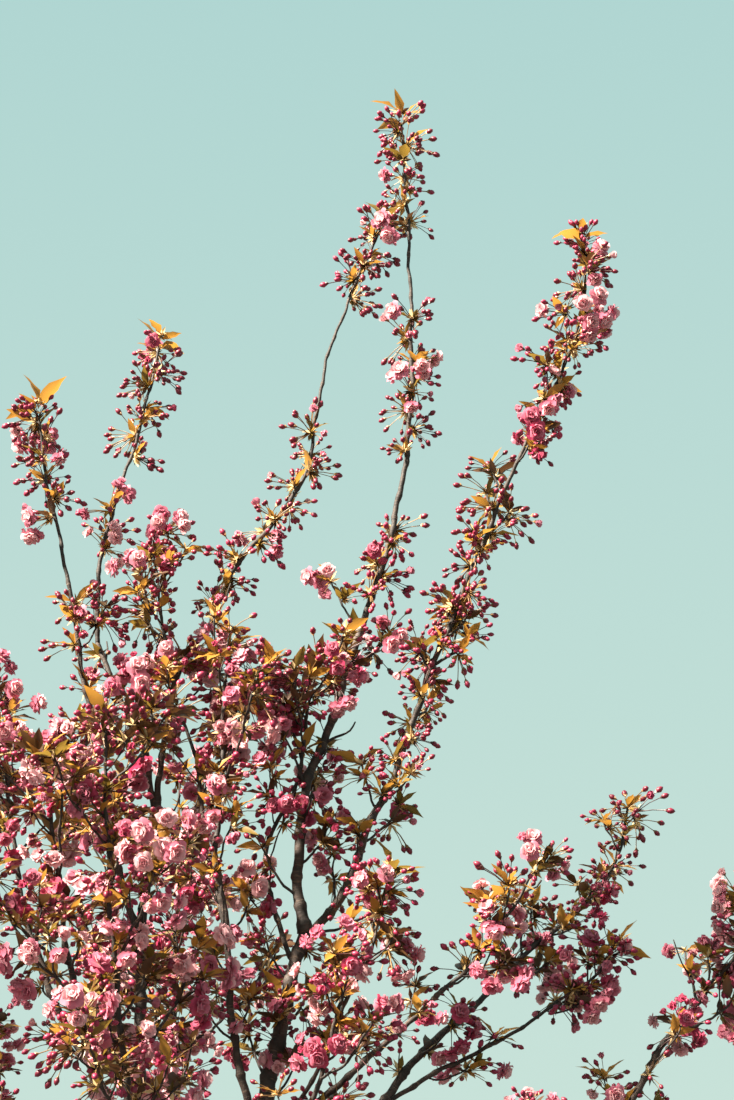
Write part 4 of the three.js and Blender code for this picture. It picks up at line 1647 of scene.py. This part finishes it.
class SprayTree:
    """The Geometry Nodes tree that sets a small piece at every point, by its turn and size."""

    def __init__(self) -> None:
        """Builds the tree."""
        tree = self.tree = bpy.data.node_groups.new("set_out_pieces", "GeometryNodeTree")
        kinds = {"Geometry": "Geometry", "Piece": "Object", "Finish": "Material", "Size": "Float"}
        _, self.piece, self.finish, self.size = add_sockets(tree, "INPUT", kinds)
        add_sockets(tree, "OUTPUT", {"Geometry": "Geometry"})
        given = add_node(tree, "NodeGroupInput").outputs
        piece = add_node(tree, "GeometryNodeObjectInfo", {"Object": given["Piece"]})
        turn, size = (
            add_node(tree, "GeometryNodeInputNamedAttribute", {"Name": name}, data_type=kind)
            for name, kind in (("turn", "QUATERNION"), ("size", "FLOAT"))
        )
        sizes = {0: size.outputs["Attribute"], 1: given["Size"]}
        scale = add_node(tree, "ShaderNodeMath", sizes, operation="MULTIPLY")
        setter = add_node(tree, "GeometryNodeInstanceOnPoints", {
            "Points": given["Geometry"],
            "Instance": piece.outputs["Geometry"],
            "Rotation": turn.outputs["Attribute"],
            "Scale": scale.outputs["Value"],
        })
        real = add_node(tree, "GeometryNodeRealizeInstances", {"Geometry": setter.outputs["Instances"]})
        paint = add_node(tree, "GeometryNodeSetMaterial", {
            "Geometry": real.outputs["Geometry"],
            "Material": given["Finish"],
        })
        add_node(tree, "NodeGroupOutput", {"Geometry": paint.outputs["Geometry"]})

    def spread(
        self, name: str, places: Places, piece: bpy.types.Object, finish: bpy.types.Material
    ) -> bpy.types.Object:
        """Sets out one kind of piece as one plain mesh.

        Args:
            name: Its name.
            places: Where the pieces stand.
            piece: The object that is repeated.
            finish: The material.

        Returns:
            The object.
        """
        mesh = bpy.data.meshes.new(name)
        mesh.from_pydata([point * MILLIMETRE for point in places.points], [], [])
        turn = mesh.attributes.new("turn", "QUATERNION", "POINT")
        turn.data.foreach_set("value", np.array(places.turns, np.float32).ravel())
        size = mesh.attributes.new("size", "FLOAT", "POINT")
        size.data.foreach_set("value", np.array(places.sizes, np.float32))
        thing = add_object(name, mesh)
        modifier = thing.modifiers.new("set out", "NODES")
        modifier.node_group = self.tree
        modifier[self.piece] = piece
        modifier[self.finish] = finish
        modifier[self.size] = MILLIMETRE
        settle(thing)
        return thing


@dataclass(frozen=True)
class Cluster:
    """One cluster: the point that its stalks start from, whether it is open, and its tints."""

    root: Vector
    is_open: bool
    bud: Tint
    stalk: Tint
    outer: Tint
    inner: Tint


@dataclass
class Blossoming:
    """The clusters on the spurs: stalked buds, double blossoms, young leaves and scales."""

    skeleton: Skeleton
    shapes: FlowerShapes = FlowerShapes()
    low_shapes: FlowerShapes = FlowerShapes(
        stalk=38.0, bend=0.1, stalk_rows=((0.0, 1.4), (0.88, 1.2), (1.09, 6.9))
    )
    stock: dict[tuple[Kind, Tint], Places] = field(default_factory=dict)
    seed: int = 2024
    root_lift: float = 5.0
    crimson_share: float = 0.6
    wine_share: float = 0.44
    blossom_tints: tuple[tuple[Tint, Tint], ...] = (
        (Tint.ROSE, Tint.PINK), (Tint.PINK, Tint.PALE), (Tint.PINK, Tint.PINK), (Tint.PINK, Tint.PALE),
        (Tint.ROSE, Tint.PINK), (Tint.PALE, Tint.PALE), (Tint.PINK, Tint.PALE),
    )
    buds: Span = (6.0, 10.0)
    buds_left: float = 0.4
    blossoms: Span = (2.6, 5.0)
    stray_share: float = 0.7
    bunch_size: float = 3.3
    bunch_turn: float = 25.0
    bunch_tilt: Span = (28.0, 68.0)
    bunch_sizes: Span = (0.74, 1.08)
    stalk_tilt: Span = (8.0, 30.0)
    blossom_droop: float = 0.25
    bud_droop: float = 0.1
    blossom_sizes: Span = (0.76, 1.06)
    bud_sizes: Span = (0.9, 1.1)
    bud_roll: float = 40.0
    cup_share: float = 0.3
    low_share: float = 0.4
    half_open_share: float = 0.06
    half_open_share_in_open: float = 0.5
    full_from: float = 1.3
    gold_share: float = 0.46
    gold_share_if_full: float = 0.76
    gold_share_of_leader: float = 0.85
    olive_from: float = 0.82
    leaves: Span = (0.8, 5.2)
    leaves_if_full: Span = (0.8, 3.4)
    leaves_of_leader: int = 5
    leaf_tilt: Span = (24.0, 62.0)
    leaf_tilt_at_tip: Span = (24.0, 78.0)
    leaf_roll: float = 50.0
    leaf_sizes: Span = (0.55, 1.0)
    leader_extra: float = 0.32
    leader_step: float = 7.0
    broad_share: float = 0.35
    scales: int = 10
    most_scales: float = 1.7
    scale_spread: float = 100.0
    scale_roll: float = 60.0
    scale_sizes: Span = (0.6, 1.2)
    scale_tints: tuple[Tint, ...] = (Tint.OCHRE, Tint.OLIVE, Tint.OCHRE, Tint.BRONZE, Tint.GOLD)

    def build(self) -> None:
        """Sets out every kind of small piece and dresses it."""
        dice = Dice(self.seed)
        for spur in self.skeleton.spurs:
            self.fill_cluster(spur, dice)
        tree = SprayTree()
        pieces = self.prototypes()
        for (kind, tint), places in self.stock.items():
            material = bpy.data.materials.get(tint.value) or FINISHES[tint].make(tint.value)
            thing = tree.spread(f"{kind.value}_{tint.value}", places, pieces[kind], material)
            dress(thing, material)
        for piece in pieces.values():
            bpy.data.objects.remove(piece)

    def prototypes(self) -> dict[Kind, bpy.types.Object]:
        """The small meshes, each as an object of its own, to be repeated.

        Returns:
            One object for each kind.
        """
        shapes, low = self.shapes, self.low_shapes
        inner = ((5, 54, 0.94, 0.05), (4, 28, 0.82, 0.1), (3, 7, 0.64, 0.12))
        cup = ((6, 62, 0.95, 0.0), (5, 38, 0.92, 0.03), (4, 14, 0.8, 0.08))
        meshes = {
            Kind.STALK: shapes.stalk_mesh(),
            Kind.BUD: shapes.bud_mesh(),
            Kind.SHORT_STALK: low.stalk_mesh(),
            Kind.LOW_BUD: low.bud_mesh(),
            Kind.HALF_OPEN: shapes.petals(((5, 22, 0.8, -0.05), (4, 8, 0.75, 0.0)), 5),
            Kind.OUTER_PETALS: shapes.petals(((6, 106, 0.9, 0.0), (7, 78, 1.0, 0.02)), 8),
            Kind.INNER_PETALS: shapes.petals(inner, 9),
            Kind.CUP: shapes.petals(cup, 4),
            Kind.LEAF: shapes.leaf_mesh(68.0, 23.0, 0.2),
            Kind.BROAD_LEAF: shapes.leaf_mesh(78.0, 30.0, 0.36),
            Kind.BRACT: shapes.bract_mesh(),
        }
        pieces = {}
        for kind, (points, faces) in meshes.items():
            mesh = bpy.data.meshes.new(kind.value)
            mesh.from_pydata(points.tolist(), [], faces)
            pieces[kind] = add_object(kind.value, mesh)
        return pieces

    def add(
        self, kind: Kind, tint: Tint, place: Vector, direction: Vector, roll: float, size: float
    ) -> None:
        """Notes one small piece: it points along a direction, and its +X side hangs downwards.

        Args:
            kind: The kind of piece.
            tint: Its colour.
            place: The point of its root.
            direction: The direction from its root to its tip.
            roll: How far it is turned about that direction, in degrees.
            size: Its scale.
        """
        down = -UP - direction * (-UP).dot(direction)
        if down.length < SHORTEST_DOWN:
            down = SIDEWAYS - direction * direction.x
        down.normalize()
        down = Matrix.Rotation(roll * DEGREE, 3, direction) @ down
        side = direction.cross(down)
        turn = Matrix((down, side, direction)).transposed().to_quaternion()
        places = self.stock.setdefault((kind, tint), Places())
        places.points.append(place)
        places.turns.append(tuple(turn))
        places.sizes.append(size)

    def cluster_on(self, spur: Spur, dice: Dice) -> Cluster:
        """Picks whether a spur's cluster is open, and its tints.

        Args:
            spur: The spur.
            dice: The source of the unevenness.

        Returns:
            The cluster.
        """
        root = spur.place if spur.is_tip else spur.place + spur.outward * self.root_lift
        is_open = dice() < spur.bloom
        bud = Tint.CRIMSON if dice() < self.crimson_share else Tint.MAGENTA
        stalk = Tint.WINE if dice() < self.wine_share else Tint.RUSSET
        outer, inner = self.blossom_tints[int(dice() * len(self.blossom_tints))]
        if spur.bloom >= SURE_BLOOM:
            outer, inner = Tint.PINK, Tint.PALE
        return Cluster(root, is_open, bud, stalk, outer, inner)

    def fill_cluster(self, spur: Spur, dice: Dice) -> None:
        """Sets buds, blossoms, leaves and scales on one spur.

        Args:
            spur: The spur.
            dice: The source of the unevenness.
        """
        cluster = self.cluster_on(spur, dice)
        buds = round(dice.span(*self.buds) * spur.fullness)
        if cluster.is_open:
            blossoms = round(dice.span(*self.blossoms))
            buds = round(buds * self.buds_left)
        else:
            blossoms = int(dice() < spur.bloom * self.stray_share)
        count = buds + blossoms
        turn = dice.span(0, 360)
        bunches = self.bunches(spur, max(2, round(count / self.bunch_size)), dice)
        for number in range(count):
            turn += GOLDEN_TURN
            is_blossom = number < blossoms
            middle, size = bunches[(number // 2 if is_blossom else number) % len(bunches)]
            direction = tilted_from(middle, turn, dice.span(*self.stalk_tilt))
            droop = self.blossom_droop if is_blossom else self.bud_droop
            direction = (direction - UP * droop).normalized()
            if is_blossom:
                self.add_blossom(cluster, direction, dice)
            else:
                self.add_bud(cluster, direction, size, dice)
        self.add_leaves(spur, cluster.root, dice)

    def bunches(self, spur: Spur, count: int, dice: Dice) -> list[tuple[Vector, float]]:
        """The middle directions of a cluster's bunches of stalks, and the size of each bunch.

        Args:
            spur: The spur that carries the cluster.
            count: The number of bunches.
            dice: The source of their unevenness.

        Returns:
            One direction and one size for each bunch.
        """
        heart = (spur.outward * (0.4 if spur.is_tip else 1.0) + spur.along * 0.25).normalized()
        first = dice.span(0, 360)
        found = []
        for number in range(count):
            turn = first + number * 360 / count + dice.span(-self.bunch_turn, self.bunch_turn)
            middle = tilted_from(heart, turn, dice.span(*self.bunch_tilt))
            found.append((middle, dice.span(*self.bunch_sizes)))
        return found

    def add_blossom(self, cluster: Cluster, direction: Vector, dice: Dice) -> None:
        """Sets one open or cupped blossom on its stalk.

        Args:
            cluster: The cluster.
            direction: The direction of its stalk.
            dice: The source of the unevenness.
        """
        size = dice.span(*self.blossom_sizes)
        parts = [(Kind.STALK, cluster.stalk)]
        if dice() < self.cup_share:
            parts += [(Kind.CUP, cluster.inner)]
        else:
            parts += [(Kind.OUTER_PETALS, cluster.outer), (Kind.INNER_PETALS, cluster.inner)]
        for kind, tint in parts:
            self.add(kind, tint, cluster.root, direction, 0.0, size)

    def add_bud(self, cluster: Cluster, direction: Vector, size: float, dice: Dice) -> None:
        """Sets one closed or half open bud on its stalk, near the size of its bunch.

        Args:
            cluster: The cluster.
            direction: The direction of its stalk.
            size: The size of its bunch.
            dice: The source of the unevenness.
        """
        size *= dice.span(*self.bud_sizes)
        roll = dice.span(-self.bud_roll, self.bud_roll)
        is_low = dice() < self.low_share
        opening = self.half_open_share_in_open if cluster.is_open else self.half_open_share
        stalk, flower = Kind.STALK, (Kind.BUD, cluster.bud)
        if is_low:
            stalk, flower = Kind.SHORT_STALK, (Kind.LOW_BUD, cluster.bud)
        elif dice() < opening:
            flower = (Kind.HALF_OPEN, cluster.outer)
        for kind, tint in ((stalk, cluster.stalk), flower):
            self.add(kind, tint, cluster.root, direction, roll, size)

    def add_leaves(self, spur: Spur, root: Vector, dice: Dice) -> None:
        """Sets young leaves and scales round a spur, with a fuller tuft at a tip.

        Args:
            spur: The spur.
            root: The point that the leaves start from.
            dice: The source of the unevenness.
        """
        picked = dice()
        is_full = spur.fullness > self.full_from
        is_leader = spur.is_tip and is_full
        gold = self.gold_share_if_full if is_full else self.gold_share
        if is_leader:
            gold = self.gold_share_of_leader
        tint = Tint.GOLD if picked < gold else (Tint.BRONZE if picked < self.olive_from else Tint.OLIVE)
        count = self.leaves_of_leader
        if not is_leader:
            count = round(dice.span(*(self.leaves_if_full if is_full else self.leaves)))
        turn = dice.span(0, 360)
        lead = (spur.along * 0.8 + spur.outward * 0.5 + UP * 0.3).normalized()
        for _ in range(count):
            turn += GOLDEN_TURN
            tilt = dice.span(*(self.leaf_tilt_at_tip if spur.is_tip else self.leaf_tilt))
            direction = tilted_from(lead, turn, tilt)
            kind = Kind.BROAD_LEAF if dice() < self.broad_share else Kind.LEAF
            size = dice.span(*self.leaf_sizes)
            if is_leader:
                size += self.leader_extra
                root = root + spur.along * self.leader_step
            roll = dice.span(-self.leaf_roll, self.leaf_roll)
            self.add(kind, tint, root, direction, roll, size)
        scales = round(self.scales * min(self.most_scales, spur.fullness))
        for number in range(scales):
            turn += GOLDEN_TURN
            tint = self.scale_tints[number % len(self.scale_tints)]
            tilt = self.scale_spread * math.sqrt((number + 0.5) / scales)
            direction = tilted_from(spur.outward, turn, tilt)
            roll = dice.span(-self.scale_roll, self.scale_roll)
            self.add(Kind.BRACT, tint, root, direction, roll, dice.span(*self.scale_sizes))


@dataclass(frozen=True)
class Sun:
    """A distant soft light: the direction that it comes from, its strength, angle and colour.

    The angle, in degrees, is the one that it fills as seen from the tree.
    """

    source: Triple
    strength: float
    angle: float
    colour: Colour

    def add(self, name: str) -> None:
        """Sets up the light under a name.

        Args:
            name: Its name.
        """
        lamp = bpy.data.lights.new(name, "SUN")
        lamp.energy = self.strength
        lamp.angle = self.angle * DEGREE
        lamp.color = self.colour
        add_object(name, lamp).rotation_euler = Vector(self.source).to_track_quat("Z", "Y").to_euler()


@dataclass
class Studio:
    """The plain pale floor, the soft light and the camera."""

    sun: Sun = Sun((-0.64, -0.32, 0.70), 31.5, 4.0, (1.0, 0.89, 0.74))
    fill: Sun = Sun((0.35, -0.9, 0.25), 0.1, 60.0, (1.0, 0.97, 0.95))
    camera_place: Triple = (0.4, -6.0, 1.55)
    camera_rise: float = 21.0
    focal_pixels: float = 2679.0
    picture_height: float = 1100.0
    sensor: float = 36.0
    low_sky: Colour = (0.60, 0.775, 0.70)
    high_sky: Colour = (0.42, 0.66, 0.64)
    sky_edges: Span = (0.1, 0.58)
    floor_colour: Colour = (0.08, 0.08, 0.079)
    floor_half: float = 150.0

    def build(self) -> None:
        """Makes the floor, lights, world and camera."""
        self.add_floor()
        self.sun.add("sun")
        self.fill.add("fill")
        self.add_world()
        self.add_camera()

    def add_floor(self) -> None:
        """The pale floor, which isn't part of the tree."""
        half = self.floor_half
        mesh = bpy.data.meshes.new("studio_floor")
        corners = [(-half, -half, 0), (half, -half, 0), (half, half, 0), (-half, half, 0)]
        mesh.from_pydata(corners, [], [(0, 1, 2, 3)])
        floor = add_object("studio_floor", mesh)
        material, surface = new_material("floor_paint")
        feed(material.node_tree, surface, {
            "Base Color": (*self.floor_colour, 1.0),
            "Roughness": 1.0,
            "Specular IOR Level": 0.0,
        })
        mesh.materials.append(material)

    def add_world(self) -> None:
        """The pale surroundings, a little lighter near the horizon."""
        world = bpy.data.worlds.new("pale_surroundings")
        world.use_nodes = True
        tree = world.node_tree
        direction = add_node(tree, "ShaderNodeTexCoord").outputs["Generated"]
        parts = add_node(tree, "ShaderNodeSeparateXYZ", {"Vector": direction})
        low, high = self.sky_edges
        inputs = {"Value": parts.outputs["Z"], "From Min": low, "From Max": high}
        height = add_node(tree, "ShaderNodeMapRange", inputs).outputs["Result"]
        sky = blended(tree, height, (*self.low_sky, 1.0), (*self.high_sky, 1.0))
        feed(tree, tree.nodes["Background"], {"Color": sky})
        bpy.context.scene.world = world
        bpy.context.scene.view_settings.view_transform = "Standard"

    def add_camera(self) -> None:
        """The camera at the photograph's place and angle, which looks up into the crown."""
        lens = bpy.data.cameras.new("camera")
        lens.sensor_fit = "VERTICAL"
        lens.sensor_height = self.sensor
        lens.lens = self.focal_pixels / self.picture_height * self.sensor
        camera = add_object("camera", lens)
        camera.location = self.camera_place
        camera.rotation_euler = ((90 + self.camera_rise) * DEGREE, 0, 0)
        bpy.context.scene.camera = camera


def main() -> None:
    """Builds the tree and the studio, in order."""
    logging.basicConfig(level=logging.INFO, format="%(name)s: %(message)s")
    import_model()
    Studio().build()
    skeleton = Skeleton()
    skeleton.grow()
    bark = TRUNK_BARK.make("bark")
    bough_bark = BOUGH_BARK.make("bough_bark")
    twig_bark = TWIG_BARK.make("twig_bark")
    WoodWork(skeleton, bark, bough_bark, twig_bark).build()
    Blossoming(skeleton).build()


if __name__ == "__main__":
    main()
